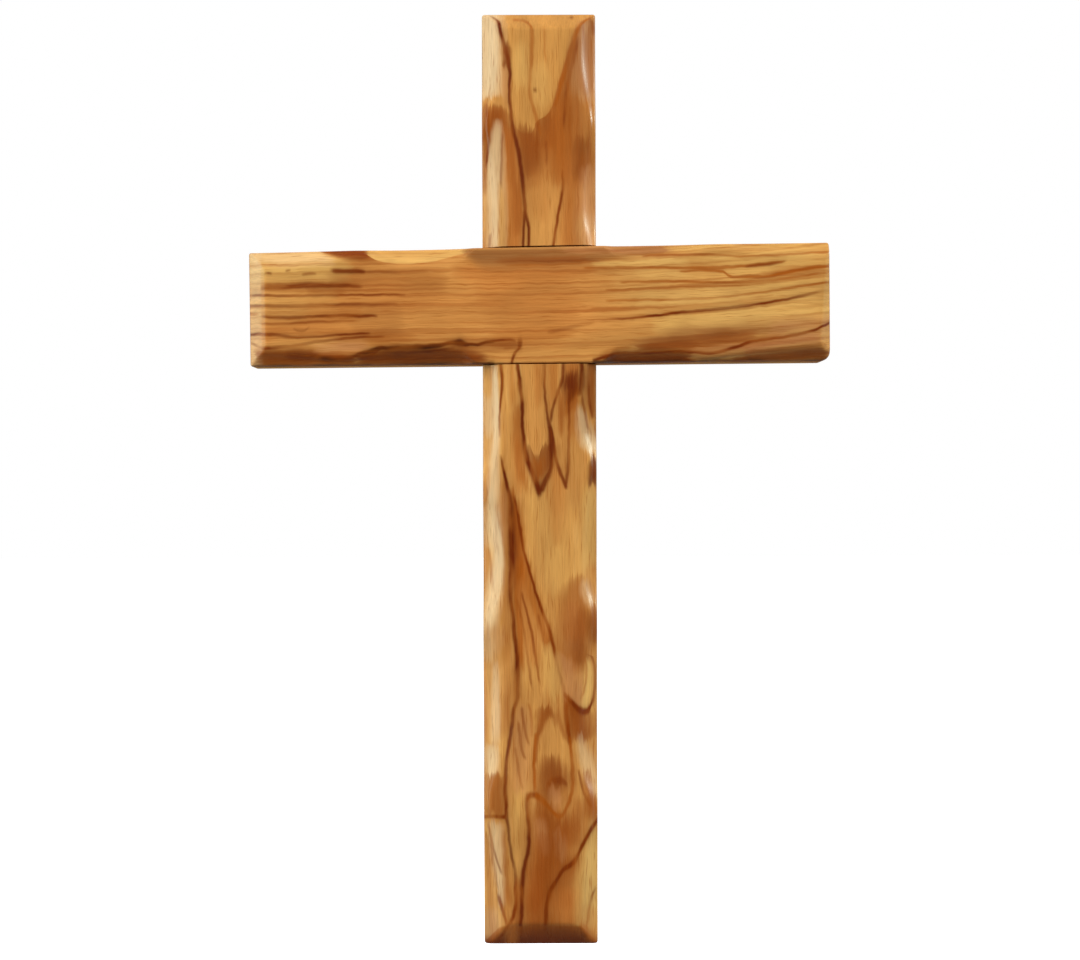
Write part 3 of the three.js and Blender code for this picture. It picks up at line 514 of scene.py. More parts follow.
CROSSBEAM_FIGURE: tuple[Streak, ...] = (
    # Its broad colours
    zone("TAN", 0.9, "-82 3 8, -66 2 9, -50 0 13, -30 0 14, 0 0 14, 12 -.5 13, 26 -.5 9", fade=10),
    zone("STRAW", 1, "-82 -11.4 4.2, -70 -11.2 4.2, -60 -11 4.4, -54 -10.8 3, -50 -10.6 1.6", fade=5),
    zone("CREAM", 0.5, "-78 -14 1.4, -68 -13.8 1.8, -60 -13.6 1.8, -55 -12.6 1"),
    # Painted light: the left end's bevel, which faces the left window, made paler
    band("CREAM", 0.45, "-83 0 19, -75.6 0 19", fade=0.7),
    zone("HONEY", 0.8, "14 0 9, 30 0 9, 50 -1 8, 70 -3 8", fade=12),
    zone("AMBER", 0.6, "-24 -9.4 1.6, -14 -9 2.8, -2 -8.8 3, 8 -9 2, 16 -9.4 1"),
    zone("AMBER", 0.4, "-18 -3 3, -6 -1 6, 4 0 6, 12 0 3"),
    zone("RUST", 0.4, "-14 9.4 1.4, -5 9 2.6, 4 8.6 2.2, 10 8.4 1"),
    zone("GOLD", 0.45, "26 -8.6 1.6, 34 -8.8 2.6, 42 -8.8 1.6"),
    zone("GOLD", 0.5, "26 .4 1.6, 34 0 3, 44 -.4 3, 54 -.6 1.8"),
    zone("GOLD", 0.3, "18 -5 5, 34 -5 8, 54 -5 8, 78 -5 7", fade=10),
    zone("GOLD", 0.35, "-80 .4 3, -71 0 3.4, -62 0 2"),
    zone("AMBER", 0.5, "-76 3.4 4.6, -68 3.2 4.6, -58 2.6 4, -48 1 3"),
    zone("RUSSET", 0.35, "-58 -8 2, -50 -7 4, -44 -6 5, -34 -6 5, -24 -7 3"),
    zone("RUSSET", 0.95, "-59 -15.4 .5, -56 -15 .9, -52 -14.8 1.5, -47.5 -14.2 1.6, -43 -13.4 .9, "
         "-39 -12.4 .5", fade=2),
    vein("UMBER", 0.7, "-57 -15.2 .5, -54 -14.8 .8, -50 -14.4 1, -46 -14 .5"),
    zone("RUSSET", 0.5, "-64 -4.8 1, -59 -4.5 1.3, -53 -4 1", fade=3),
    # Painted light: the top hollow of the left arm, lit from above, in bright gold
    Streak("GOLD", 0.85, Edge.CRISP_HIGH, "-47 -15.8 1.2, -44 -14.8 1.9, -39 -14.2 2.3, -35 -14.1 2.3, "
           "-30 -14.3 2.1, -25 -14.9 1.7, -19 -15.8 1.2"),
    zone("UMBER", 0.25, "-52 5 3, -44 5 5, -36 4 4"),
    zone("SMOKE", 0.95, "-21 -15 1, -15 -13.6 2.6, 0 -13.3 2.7, 12 -13.4 2.5, 20 -13.9 1.8, 28 -14.2 1.5, "
         "36 -14.4 1.1, 42 -14.4 .7", fade=4),
    zone("RUSSET", 0.5, "-12 -12.2 .8, 0 -12 1, 14 -12.4 .8"),
    zone("CLAY", 0.5, "6 -14.6 .6, 16 -14.8 .9, 28 -15 1, 40 -15 1"),
    zone("RUST", 0.5, "-10 -10.9 .35, 0 -10.6 .4, 12 -11.1 .4, 24 -12.2 .4", fade=8),
    zone("RUST", 0.4, "-49 7.4 1, -44 8.6 1.6, -39 8.6 1.4, -33 8 .8"),
    # Painted shade: the left arm's bottom bevel faces down and is darker, most of all in its hollow
    zone("UMBER", 0.9, "-50 14.2 1, -45 13.8 1.6, -38 13.6 2.2, -30 13.6 2.4, -24 13.6 2.2, -18 14 1.8, "
         "-14 14.4 1", fade=4),
    zone("RUSSET", 0.9, "-78 13.6 2, -70 13.2 2.4, -64 13.2 2.4, -57 13.8 1.6, -50 14.4 1.2", fade=4),
    zone("UMBER", 0.75, "-69.5 12.4 1, -65 12.4 1.6, -60 12.6 1", fade=4),
    zone("RUST", 0.5, "-51 13.6 .8, -45 13.4 1.6, -39 13.4 1.2"),
    zone("CLAY", 0.8, "-62 11.2 .8, -56 10.8 1.3, -50 10.6 1.3, -46 10.4 .8", fade=5),
    zone("HONEY", 0.6, "-16 13.2 1.4, -6 13.4 2, 5 12.6 2.4, 15 10.8 2.4, 26 8.4 2.6, 34 7 2"),
    zone("GOLD", 0.75, "15 -10.8 .8, 24 -11.2 1.1, 32 -11.3 1.2, 41 -11.2 .8", fade=5),
    zone("STRAW", 1, "34 -14.6 1.4, 42 -14 2.2, 50 -13.8 2.6, 65 -13.6 2.6, 82 -14.9 1.4", fade=8),
    zone("GOLD", 0.5, "46 -13.2 1, 56 -13 2.2, 66 -13 2.2, 76 -13.2 1.2"),
    zone("STRAW", 0.8, "50 -9.8 3, 62 -8 6, 82 -7 8", fade=8),
    zone("STRAW", 0.95, "30 6 2, 38 5.2 2.4, 46 4.4 2.6, 55 3.8 2.8, 62 3.2 2.8, 70 2.2 2.8, 82 1 2.8",
         fade=8),
    zone("SMOKE", 0.7, "24 11.6 1.2, 30 11 1.8, 36 9.8 2.6, 42 9.2 3.6, 48 8.8 3.8, 54 8 3.4, 60 7.4 2.8, "
         "68 6.6 2.2, 76 5.6 1.6", fade=8),
    zone("RUSSET", 0.6, "26 12 1, 36 11.4 1.6, 44 11.2 2, 52 10 1.8, 60 8.8 1.2"),
    zone("CLAY", 0.7, "62 7.8 2.4, 68 7 2.2, 74 7.4 2.6, 82 6.4 2.2"),
    zone("GOLD", 0.4, "66 9 1, 74 8.8 2.2, 81 8 1.6"),
    zone("UMBER", 0.5, "26 12.2 .6, 33 11.9 1.2, 38 11.6 1.4, 44 11.4 .8"),
    zone("UMBER", 0.25, "42 8.6 2, 48 8.6 2.6, 54 7.8 2"),
    zone("GOLD", 0.4, "40 5 1.4, 48 4.5 2, 57 3.8 1.6"),
    zone("CLAY", 0.9, "40 14.4 1, 44 14.5 1.6, 48 14.4 1.7, 52 13.6 1.6, 58 12.6 1.3, 64 11.6 1.2, "
         "70 10.6 1.2, 77 9.6 1.6", fade=3),
    # Painted shade in the right arm's two bottom hollows, with painted light on the crest between them
    zone("UMBER", 0.9, "16 15.6 .8, 22 14.9 1.5, 30 14.9 1.6, 38 15.1 1.4, 43 15.9 .7", fade=4),
    zone("GOLD", 0.5, "40.5 14.4 .7, 45 14.8 1.5, 51 14.2 1.4, 56 13.4 .8", fade=3),
    zone("UMBER", 0.85, "52 15.9 .6, 60 15.1 1.3, 68 14.6 1.7, 75 14.2 2.1, 80 15 1.4", fade=4),
    zone("GOLD", 0.4, "42 -2 2, 52 0 4.4, 64 1 5, 76 1 3"),
    # Left arm
    vein("UMBER", 0.85, "-56.6 -10.1 .35, -55 -9.9 .55, -52.5 -9.9 .45, -50 -9.9 .5, -47 -9.7 .3",
         fade=1.5),
    vein("UMBER", 0.35, "-50 -9.8 .25, -40 -9.4 .3, -30 -9.3 .25"),
    vein("UMBER", 0.6, "-74.3 -9.8 .25, -72.7 -9.6 .25", fade=0.5),
    vein("UMBER", 0.5, "-69 -10.3 .22, -67.3 -10.6 .22", fade=0.5),
    vein("UMBER", 0.5, "-64.4 -9.2 .29, -62.3 -9.3 .32, -60.6 -9.2 .25", fade=0.8),
    vein("UMBER", 0.85, "-76 -6 .5, -72 -6.1 .65, -68 -6.1 .58, -64 -6.2 .65, -59 -6.1 .58, -54 -6 .5, "
         "-48 -5.8 .36"),
    vein("UMBER", 0.7, "-80 -3.9 .25, -70 -3.6 .29, -60 -3.5 .29, -50 -3.4 .25, -36 -3.4 .22", fade=4),
    vein("UMBER", 0.65, "-80 -.9 .25, -70 -.7 .29, -60 -.8 .29, -50 -.9 .29, -38 -.7 .22", fade=4),
    vein("UMBER", 0.85, "-76 1.9 .29, -73 2.2 .36, -68 2.5 .4, -63 2.3 .32, -58 2.1 .32, -52 2.2 .36, "
         "-44 2.4 .25"),
    vein("RUST", 0.5, "-80 1.3 .29, -76.5 1.5 .29"),
    vein("UMBER", 0.6, "-76 4.1 .22, -70 4.2 .29, -66 4 .29, -60 3.7 .25, -50 3.6 .22"),
    vein("UMBER", 0.85, "-80 6.9 .25, -75.3 7 .36, -72 7.1 .4, -69 7.6 .36, -66 8 .25, -61 7.9 .25, "
         "-56 7.4 .25, -46 7 .22"),
    vein("UMBER", 0.5, "-79 9.4 .25, -76 10.4 .29, -73 10.9 .29", fade=1),
    vein("UMBER", 0.75, "-76 11.1 .29, -71 10.6 .32, -65 9.9 .32, -60 9.2 .32, -55 8.6 .32, -50 8.1 .29, "
         "-42 8 .22"),
    vein("UMBER", 0.4, "-67 5.6 .22, -65 6.2 .25, -62.6 5.2 .22", fade=1),
    vein("VEIN", 0.92, "-59.4 13.9 .36, -57 14.4 .54, -54 14.2 .4, -51 13.6 .36, -48.6 12.4 .36, "
         "-46 12 .36, -43.4 11.1 .36, -41 11.3 .43, -37 11.2 .43, -33 10.9 .43, -29 10.8 .47, -27 10.6 .43, "
         "-25 10.1 .4, -23 9.8 .47, -21.7 9.8 .65, -20 10.5 .4, -18.5 10.2 .25, -17 10.4 .29, -14 9.7 .29, "
         "-11 9.3 .25, -8.5 9.2 .25, -6.4 9.6 .29"),
    vein("UMBER", 0.8, "10.6 -42.6 .36, 12 -44.6 .5, 13.4 -47 .58, 14.6 -49.6 .43", across=True, fade=0.6),
    vein("VEIN", 0.6, "-40 12.4 .29, -34 12.2 .36, -28 12 .29, -23 11.4 .29"),
    # Crossing
    zone("UMBER", 0.5, "-24 10.6 1.6, -16 10.8 1.6, -10 10.6 1.4, -5 10.4 .8", fade=4),
    vein("VEIN", 0.85, "-6.3 10 .43, -5.4 10 .79, -4.6 10 .43", fade=0.5),
    vein("UMBER", 0.8, "10.6 -5.5 .36, 11.5 -5.7 .36, 12.5 -6.6 .36, 14 -7.3 .29, 16 -7.8 .25",
         across=True, fade=0.6),
    vein("UMBER", 0.4, "-10 11.4 .25, -7.4 11.2 .29, -5.6 11 .25", fade=1),
    vein("UMBER", 0.35, "2 7.5 .36, 6 6.9 .43, 10 6 .43, 15 4.9 .29"),
    vein("UMBER", 0.4, "16 13.8 .43, 20 12.6 .43, 25 11.8 .36"),
    # Right arm
    vein("RUST", 0.75, "12 -9.9 .18, 20 -9.9 .25, 30 -9.7 .29, 38 -9.4 .32, 45 -9.4 .36, 52 -9.7 .32, "
         "60 -10.2 .32, 67 -10.9 .25"),
    vein("UMBER", 0.6, "56 -9.8 .25, 60 -10 .3, 64 -10.3 .3, 67.5 -11 .2"),
    vein("RUST", 0.7, "28 -12.9 .18, 38 -13 .25, 46 -13.1 .29, 55 -12.6 .25, 63 -12.6 .25, 70 -12.9 .25, "
         "80 -13.4 .25"),
    zone("RUST", 0.5, "60 -7.6 .6, 68 -8.3 1, 78 -9.2 .8"),
    vein("RUST", 0.85, "38 -8.4 .22, 46 -8.7 .25, 49.8 -8.6 .29, 51.5 -7.4 .29, 54 -6.8 .29, 60 -6.8 .32, "
         "65 -7.4 .36, 70 -8.4 .36, 74 -9 .36, 80 -9.6 .32"),
    vein("RUST", 0.7, "22 -6 .22, 36 -5.8 .29, 45 -5.6 .29, 55 -5.4 .25, 60 -5.6 .25, 68 -6.4 .25, "
         "80 -8 .22"),
    vein("RUST", 0.55, "18 -4 .22, 30 -4 .25, 44 -4.4 .25, 55 -4.6 .25, 63 -5.2 .25, 72 -6.2 .25, 80 -7 .22"),
    vein("RUST", 0.75, "18 -1 .22, 34 -.9 .25, 48 -1.3 .25, 55 -1.8 .25, 62 -2.8 .25, 70 -3.9 .25, "
         "80 -5.4 .25"),
    vein("RUST", 0.4, "14 1.2 .18, 28 1 .22, 40 .5 .22, 52 -.4 .22, 64 -1.8 .18"),
    vein("UMBER", 0.95, "12 4.4 .18, 20 4.2 .22, 26 3.9 .25, 32 3.2 .29, 38 2.5 .32, 46 1.9 .32, "
         "51 1.4 .32, 57 .9 .32, 62 .3 .29, 67 -.5 .32, 71 -1.4 .32, 74 -2.1 .32, 77 -2.9 .29, "
         "78.4 -3.1 .29, 80 -2.9 .25", fade=26),
    vein("UMBER", 0.9, "14 15.6 .29, 18 14.3 .29, 21 13.5 .32, 26 13.4 .32, 32 13.3 .29, 38 13.2 .29, "
         "42 13.5 .32, 46 13.8 .36, 49 13.4 .36, 52 12.6 .36, 56 11.4 .36, 60 10.6 .36, 65 9.9 .32, "
         "70 9 .32, 74 8.1 .32, 77 6.8 .29, 80 5.4 .25"),
    vein("PITCH", 0.7, "-48 12.6 .3, -43.4 11.2 .4, -37 11.2 .4, -29 10.9 .45, -24 10 .4, -21.7 9.9 .6, "
         "-19 10.4 .3, -12 9.6 .25"),
    vein("PITCH", 0.6, "-60.5 14 .4, -58 14.3 .7, -54 14 .5, -50 13 .45, -47.5 12.2 .4, -45 11.6 .35"),
    # Painted shadow along the bottom edge of both arms, where the underside turns away
    vein("PITCH", 0.8, "-79 16 .5, -64 16.1 .7, -40 16.1 .8, -12 16.1 .7"),
    vein("PITCH", 0.8, "14 16.1 .6, 36 16.3 .8, 60 16.5 .8, 78 16.8 .8"),
    # Weak glazes over its length
    zone("STRAW", 0.25, "-76 0 2.4, -70 0 3.4, -62 -1.6 3, -54 -2 2"),
    zone("STRAW", 0.25, "-74 9 1.6, -64 9 2.4, -54 9 2"),
    zone("GOLD", 0.45, "33 .2 1, 42 0 1.7, 52 -.2 1.7, 60 -.8 1"),
)


# Finishes


@dataclass
class Grain:
    """What a wood's colours are worked out from at each point, as sockets.

    Attributes:
        place: Millimetres in the bar's frame.
        depth: Millimetres behind the front.
        along: Millimetres along the bar.
        across: Millimetres across it, as the grain wanders.
        broad: Fibres about 1 mm across and 40 mm long.
        fine: Fibres 0.3 mm across and 8 mm long.
        drawn: The place, drawn out along the grain.
        cloud: Soft patches that are drawn out likewise.
    """

    place: Socket
    depth: Socket
    along: Socket
    across: Socket
    broad: Socket
    fine: Socket
    drawn: Socket
    cloud: Socket


@dataclass
class Sheet:
    """What the streaks of a front are drawn on.

    Attributes:
        spans: The lowest and highest millimetre of the streaks' curves, by way.
        clean: The place along the bar and across it, as shares of those spans.
        ragged: The same, with each fibre shifted by an amount of its own.
        flow: How strongly a vein is drawn at each place.
        thin: How far it turns red there.
    """

    spans: dict[str, tuple[float, float]]
    clean: dict[str, Socket]
    ragged: dict[str, Socket]
    flow: Socket
    thin: Socket


@dataclass(frozen=True)
class OiledOliveWood:
    """Olive wood, sawn along the grain, hand carved, sanded and oiled.

    It gives the eye honey-coloured wood with dark, wandering veins, fine fibres along the bar, a
    satin sheen on the carved hollows, with painted sheen, light and highlights in its figure, painted
    shade on the edges that face down, and dull, dark end grain.

    Attributes:
        name: The material's name.
        bottom: Where the bar starts along its grain.
        top: Where it ends.
        figure: The streaks that its front shows, painted light and shade on its carved edges among them.
        ring_seed: Moves the rings that the sides and the back show.
        line_share: How strongly fine growth lines mark it.
        sweep: How fast they bow away from the bar's axis past its middle.
    """

    name: str
    bottom: float
    top: float
    figure: tuple[Streak, ...]
    ring_seed: float
    line_share: float
    sweep: float = 0.0

    HALF_SPREAD: ClassVar[float] = 20.0  # the streaks' curves span this much to each side
    END_SPREAD: ClassVar[float] = 2.0  # and this much past the bar's ends
    VEIN_WIDTH: ClassVar[float] = 1.0  # a line with a smaller half width is a vein, whose ink varies
    FIGURE_DEPTHS: ClassVar[tuple[float, float]] = (4.5, 9.5)  # the figure gives way to rings here
    PITH: ClassVar[float] = 22.0  # the rings' middle lies this far in front of the wall
    RING_WANDER: ClassVar[float] = 46.0
    MIDDLE: ClassVar[tuple[float, float]] = (0.3, 0.7)  # where nearly all of a noise's values lie
    GLOSS: ClassVar[tuple[float, float]] = (0.24, 0.34)  # least and greatest roughness of the front
    END_DULLNESS: ClassVar[float] = 0.15  # roughness that is added on end grain
    SAWN_DULLNESS: ClassVar[float] = 0.55  # and on the sawn sides
    OIL: ClassVar[dict[str, Any]] = {
        "IOR": 1.48, "Specular IOR Level": 0.18, "Specular Tint": linear("FFE499"),
    }

    def build(self) -> bpy.types.Material:
        """Builds the material from the figure, the rings, the weather and the end grain.

        Returns:
            The material.
        """
        material = bpy.data.materials.new(self.name)
        g = new_graph(material)
        grain = self.grain(g)
        shallow, deep = self.FIGURE_DEPTHS
        seen = g.remap(grain.depth, shallow, deep, 1.0, 0.0, interpolation_type="SMOOTHSTEP")
        colour = g.mix(seen, self.rings(g, grain), self.front(g, grain))
        colour = self.weather(g, grain, colour)

        facing = g.add("SeparateXYZ", {0: g.add("TexCoord").outputs["Normal"]}).outputs
        endward = g.math("ABSOLUTE", facing["Z"])
        colour = g.mix(self.hairs(g, grain, endward), colour, linear(Tone.RUST.value))

        # End grain drinks the oil and turns dark
        end = g.remap(endward, 0.78, 0.93, interpolation_type="SMOOTHSTEP")
        dark = g.mix(1.0, colour, linear("C49A74"), blend_type="MULTIPLY")
        colour = g.mix(end, colour, dark)

        sawn = g.remap(g.math("ABSOLUTE", facing["X"]), 0.88, 0.99)
        rough = g.remap(grain.broad, *self.MIDDLE, *self.GLOSS)
        rough = g.math("MULTIPLY_ADD", end, self.END_DULLNESS, rough)
        rough = g.math("MULTIPLY_ADD", sawn, self.SAWN_DULLNESS, rough)
        bump = g.out("Bump", {"Height": grain.fine, "Strength": 0.35, "Distance": 0.05 * MM})
        surface = {"Base Color": colour, "Roughness": rough, "Normal": bump} | self.OIL
        g.add("OutputMaterial", {"Surface": g.out("BsdfPrincipled", surface)})
        return material

    def grain(self, g: Graph) -> Grain:
        """Lays out the grain: its wander, its fibres and its clouds.

        Args:
            g: The material's nodes.

        Returns:
            The sockets that the colours are worked out from.
        """
        place = g.millimetres()
        axes = g.add("SeparateXYZ", {0: place}).outputs
        depth = g.math("ADD", axes["Y"], -FRONT)
        along, across = axes["Z"], axes["X"]

        # A slow wander (18 mm) and a small wobble (3 mm), less their mean
        across = g.math("MULTIPLY_ADD", g.noise(place, 0.055, 1.0), 1.0, across)
        across = g.math("MULTIPLY_ADD", g.noise(place, 0.32, 1.0), 0.5, across)
        across = g.math("SUBTRACT", across, 0.75)

        inward = g.math("MULTIPLY", depth, 0.3)

        def fibres(scale: float, shortened: float) -> Socket:
            """Noise in long fibres, for which lengths along the bar are shortened."""
            lengths = g.math("MULTIPLY", along, shortened)
            return g.noise(g.out("CombineXYZ", {0: across, 1: inward, 2: lengths}), scale, 2.0)

        broad, fine = fibres(0.9, 0.028), fibres(3.2, 0.04)
        drawn = g.vector("MULTIPLY", place, (1.0, 1.0, 0.25))
        return Grain(place, depth, along, across, broad, fine, drawn, g.noise(drawn, 0.16, 2.0))

    def rings(self, g: Graph, grain: Grain) -> Socket:
        """The colour of the sides and the back, cut through rings about a pith beside the bar.

        Args:
            g: The material's nodes.
            grain: The wood's grain.

        Returns:
            The colour.
        """
        bent = g.vector("MULTIPLY_ADD", grain.place, (1.0, 1.0, 0.16), (self.ring_seed, self.PITH, 0.0))
        lump = g.noise(bent, 0.05, 2.0)
        shares = g.add("SeparateXYZ", {0: bent}).outputs
        radius = g.vector("LENGTH", g.out("CombineXYZ", {0: shares[0], 1: shares[1], 2: 0.0}))
        radius = g.math("MULTIPLY_ADD", lump, self.RING_WANDER, radius)
        texture = {"W": radius, "Scale": 0.42, "Detail": 3.0, "Roughness": 0.55}
        ring = g.math("MULTIPLY_ADD", grain.fine, 0.12, g.out("TexNoise", texture, noise_dimensions="1D"))
        colour = g.ramp(
            ring, (0.34, "AC642E"), (0.44, "C58440"), (0.5, "D29850"), (0.58, "DBA55C"), (0.66, "CC8E48"),
            (0.74, "B06A30"),
        )
        off = g.math("ABSOLUTE", g.math("SUBTRACT", ring, 0.53))
        line = g.remap(off, 0.0, 0.022, 0.6, 0.0, interpolation_type="SMOOTHSTEP")
        return g.mix(line, colour, linear(Tone.UMBER.value))

    def front(self, g: Graph, grain: Grain) -> Socket:
        """The colour of the front: honey-coloured wood in soft bands, and the streaks over it.

        Args:
            g: The material's nodes.
            grain: The wood's grain.

        Returns:
            The colour.
        """
        level = g.math("MULTIPLY_ADD", grain.broad, 0.5, grain.cloud)
        colour = g.ramp(level, (0.55, "C07E3C"), (0.7, "CA8D48"), (0.8, "CE9149"), (0.95, "D69E56"))
        sheet = self.sheet(g, grain)
        for streak in self.figure:
            colour = self.draw(g, streak, sheet, colour)
        return colour

    def sheet(self, g: Graph, grain: Grain) -> Sheet:
        """Lays out what the streaks are drawn on.

        Args:
            g: The material's nodes.
            grain: The wood's grain.

        Returns:
            The curves' spans, the places in them and the veins' ink.
        """
        spans = {
            "along": (self.bottom - self.END_SPREAD, self.top + self.END_SPREAD),
            "across": (-self.HALF_SPREAD, self.HALF_SPREAD),
        }

        def shares(along: Socket, across: Socket) -> dict[str, Socket]:
            """Millimetres along and across as shares of the spans."""
            places = {"along": along, "across": across}
            return {way: g.remap(places[way], *spans[way], clamp=False) for way in spans}

        # Areas of colour end raggedly, each fibre at a place of its own
        ragged_along = g.math("MULTIPLY_ADD", grain.broad, 5.0, grain.along)
        ragged_along = g.math("MULTIPLY_ADD", grain.fine, 3.0, ragged_along)
        ragged_along = g.math("SUBTRACT", ragged_along, 4.0)
        ragged_across = g.math("MULTIPLY_ADD", grain.broad, 1.8, grain.across)
        ragged_across = g.math("SUBTRACT", ragged_across, 0.9)

        # Veins come and go along their course, redder where they are weak
        clot = g.noise(grain.drawn, 0.28, 2.0)
        return Sheet(
            spans=spans,
            clean=shares(grain.along, grain.across),
            ragged=shares(ragged_along, ragged_across),
            flow=g.remap(clot, 0.36, 0.54, 0.76, 1.1),
            thin=g.remap(clot, 0.56, 0.4, 0.0, 0.5),
        )

    def draw(self, g: Graph, streak: Streak, sheet: Sheet, below: Socket) -> Socket:
        """Draws one streak over a colour.

        One node's three curves give its middle, half width and cover at each place on its course.

        Args:
            g: The material's nodes.
            streak: The streak.
            sheet: What it is drawn on.
            below: The colour that it is drawn over.

        Returns:
            The colour with the streak on it.
        """
        shares = sheet.ragged if streak.edge is Edge.ZONE else sheet.clean
        course, side = ("across", "along") if streak.across else ("along", "across")
        (low, high), (start, end) = sheet.spans[course], sheet.spans[side]
        points = sorted(((p - low) / (high - low), q, w) for p, q, w in streak.points())
        first, last = points[0][0], points[-1][0]
        fade = min(streak.fade / (high - low), (last - first) / 2.2)
        full = streak.strength
        rows = (
            [(p, (q - start) / (end - start)) for p, q, _ in points],
            [(p, w / (end - start)) for p, _, w in points],
            [(first, 0.0), (first + fade, full), (last - fade, full), (last, 0.0)],
        )
        curves = g.add("RGBCurve", {"Color": shares[course]})
        self.bend(curves.mapping, rows)
        middle, half_width, cover = g.add("SeparateXYZ", {0: curves.outputs["Color"]}).outputs
        off = g.math("DIVIDE", g.math("SUBTRACT", shares[side], middle), half_width)
        profile = g.add("FloatCurve", {"Value": off})
        self.bend(profile.mapping, (streak.edge.value,))
        cover = g.math("MULTIPLY", profile.outputs[0], cover)
        colour = linear(Tone[streak.tone].value)
        if streak.edge is Edge.LINE and max(width for *_, width in streak.points()) < self.VEIN_WIDTH:
            cover = g.math("MULTIPLY", cover, sheet.flow)
            colour = g.mix(sheet.thin, colour, linear(Tone.RUST.value))
        return g.mix(cover, below, colour)

    def bend(self, mapping: bpy.types.CurveMapping, rows: Sequence[Sequence[tuple[float, float]]]) -> None:
        """Leads a node's curves through rows of points, level beyond their ends.

        Args:
            mapping: The node's curves.
            rows: The points of each curve, from left to right.
        """
        mapping.extend = "HORIZONTAL"
        mapping.use_clip = False
        for curve, row in zip(mapping.curves, rows):
            curve.points[0].location, curve.points[-1].location = row[0], row[-1]
            for x, y in row[1:-1]:
                curve.points.new(x, y)
            for point in curve.points:
                point.handle_type = "AUTO_CLAMPED"
        mapping.update()

    def weather(self, g: Graph, grain: Grain, colour: Socket) -> Socket:
        """Lays fine growth lines, fibres and clouds over all of the wood.

        Args:
            g: The material's nodes.
            grain: The wood's grain.
            colour: The colour below them.

        Returns:
            The colour with them.
        """
        beyond = g.math("MAXIMUM", grain.along, 0.0)
        rise = g.math("MULTIPLY_ADD", g.math("MULTIPLY", beyond, beyond), self.sweep, grain.across)
        layers = g.out("CombineXYZ", {0: rise, 1: 0.0, 2: g.math("MULTIPLY", grain.along, 0.014)})
        growth = g.remap(g.noise(layers, 0.8, 1.5), 0.46, 0.66, 0.0, self.line_share)
        growth = g.math("MULTIPLY", growth, grain.cloud)
        lined = g.mix(1.0, colour, linear("BE8A5C"), blend_type="MULTIPLY")
        colour = g.mix(growth, colour, lined)
        shade = g.remap(grain.cloud, *self.MIDDLE, 0.87, 1.1)
        light = g.remap(grain.fine, *self.MIDDLE, 0.9, 1.08)
        return g.scaled(colour, g.math("MULTIPLY", shade, light))

    def hairs(self, g: Graph, grain: Grain, endward: Socket) -> Socket:
        """How strongly single dark fibres show: not on faces that are cut across the grain.

        Args:
            g: The material's nodes.
            grain: The wood's grain.
            endward: How far the face looks along the bar, from 0 to 1.

        Returns:
            Their share of the colour.
        """
        most = g.remap(endward, 0.25, 0.5, 0.5, 0.0)
        return g.remap(grain.fine, 0.42, 0.28, 0.0, most)


@dataclass(frozen=True)
class StampedBrass:
    """Thin brass-plated steel, stamped and bent.

    It gives the eye a yellow metal with faint rolling lines and dull spots.

    Attributes:
        name: The material's name.
        hue: Its colour.
        roughness: Its roughness between the spots.
    """

    name: str
    hue: str = "C9A25E"
    roughness: float = 0.32

    TARNISH: ClassVar[str] = "8A6A3A"

    def build(self) -> bpy.types.Material:
        """Builds the material from rolling lines and spots.

        Returns:
            The material.
        """
        material = bpy.data.materials.new(self.name)
        g = new_graph(material)
        place = g.millimetres()
        lines = g.noise(g.vector("MULTIPLY", place, (0.3, 1.0, 6.0)), 1.2, 3.0)
        spots = g.noise(place, 0.7, 3.0)
        rough = g.remap(spots, 0.35, 0.7, self.roughness - 0.06, self.roughness + 0.16)
        colour = g.mix(g.remap(spots, 0.5, 0.75, 0.0, 0.6), linear(self.hue), linear(self.TARNISH))
        bump = g.out("Bump", {"Height": lines, "Strength": 0.2, "Distance": 0.02 * MM})
        surface = {"Base Color": colour, "Metallic": 1.0, "Roughness": rough, "Normal": bump}
        g.add("OutputMaterial", {"Surface": g.out("BsdfPrincipled", surface)})
        return material


# The bars


def smooth_max(a: np.ndarray, b: np.ndarray, radius: float) -> np.ndarray:
    """The larger of two values, with their meeting rounded."""
    return 0.5 * (a + b + np.sqrt((a - b) ** 2 + radius**2))


def quarter_inset(distance: np.ndarray, radius: float) -> np.ndarray:
    """How far a rounded edge has fallen back at a distance from the end that it is rounded towards."""
    left = np.clip(radius - distance, 0, radius)
    return radius - np.sqrt(radius**2 - left**2)


def arc_shares(t: float) -> tuple[float, float, float]:
    """The shares of a quadratic curve's three points at t."""
    return (1 - t) ** 2, 2 * t * (1 - t), t * t


@dataclass(frozen=True)
class Hollow:
    """One shallow hollow of a carved edge.

    Attributes:
        start: Where it starts along the bar.
        end: Where it ends.
        width: Its width across the front where it is deepest.
        deepest: Where that is, as a share of its length.
    """

    start: float
    end: float
    width: float
    deepest: float

    def cut(self, s: np.ndarray) -> np.ndarray:
        """How far it is cut along its length.

        Args:
            s: The stations along the bar.

        Returns:
            0 at its ends and beyond them, and 1 where it is deepest.
        """
        share = (s - self.start) / (self.end - self.start)
        run = np.where(share < self.deepest, self.deepest, 1 - self.deepest)
        return np.clip(1 - ((share - self.deepest) / run) ** 2, 0, None)


@dataclass(frozen=True)
class EndBevel:
    """The flat bevel at a bar's end: across the front, down the end, and how far it is turned."""

    width: float
    depth: float
    skew_deg: float = 0.0


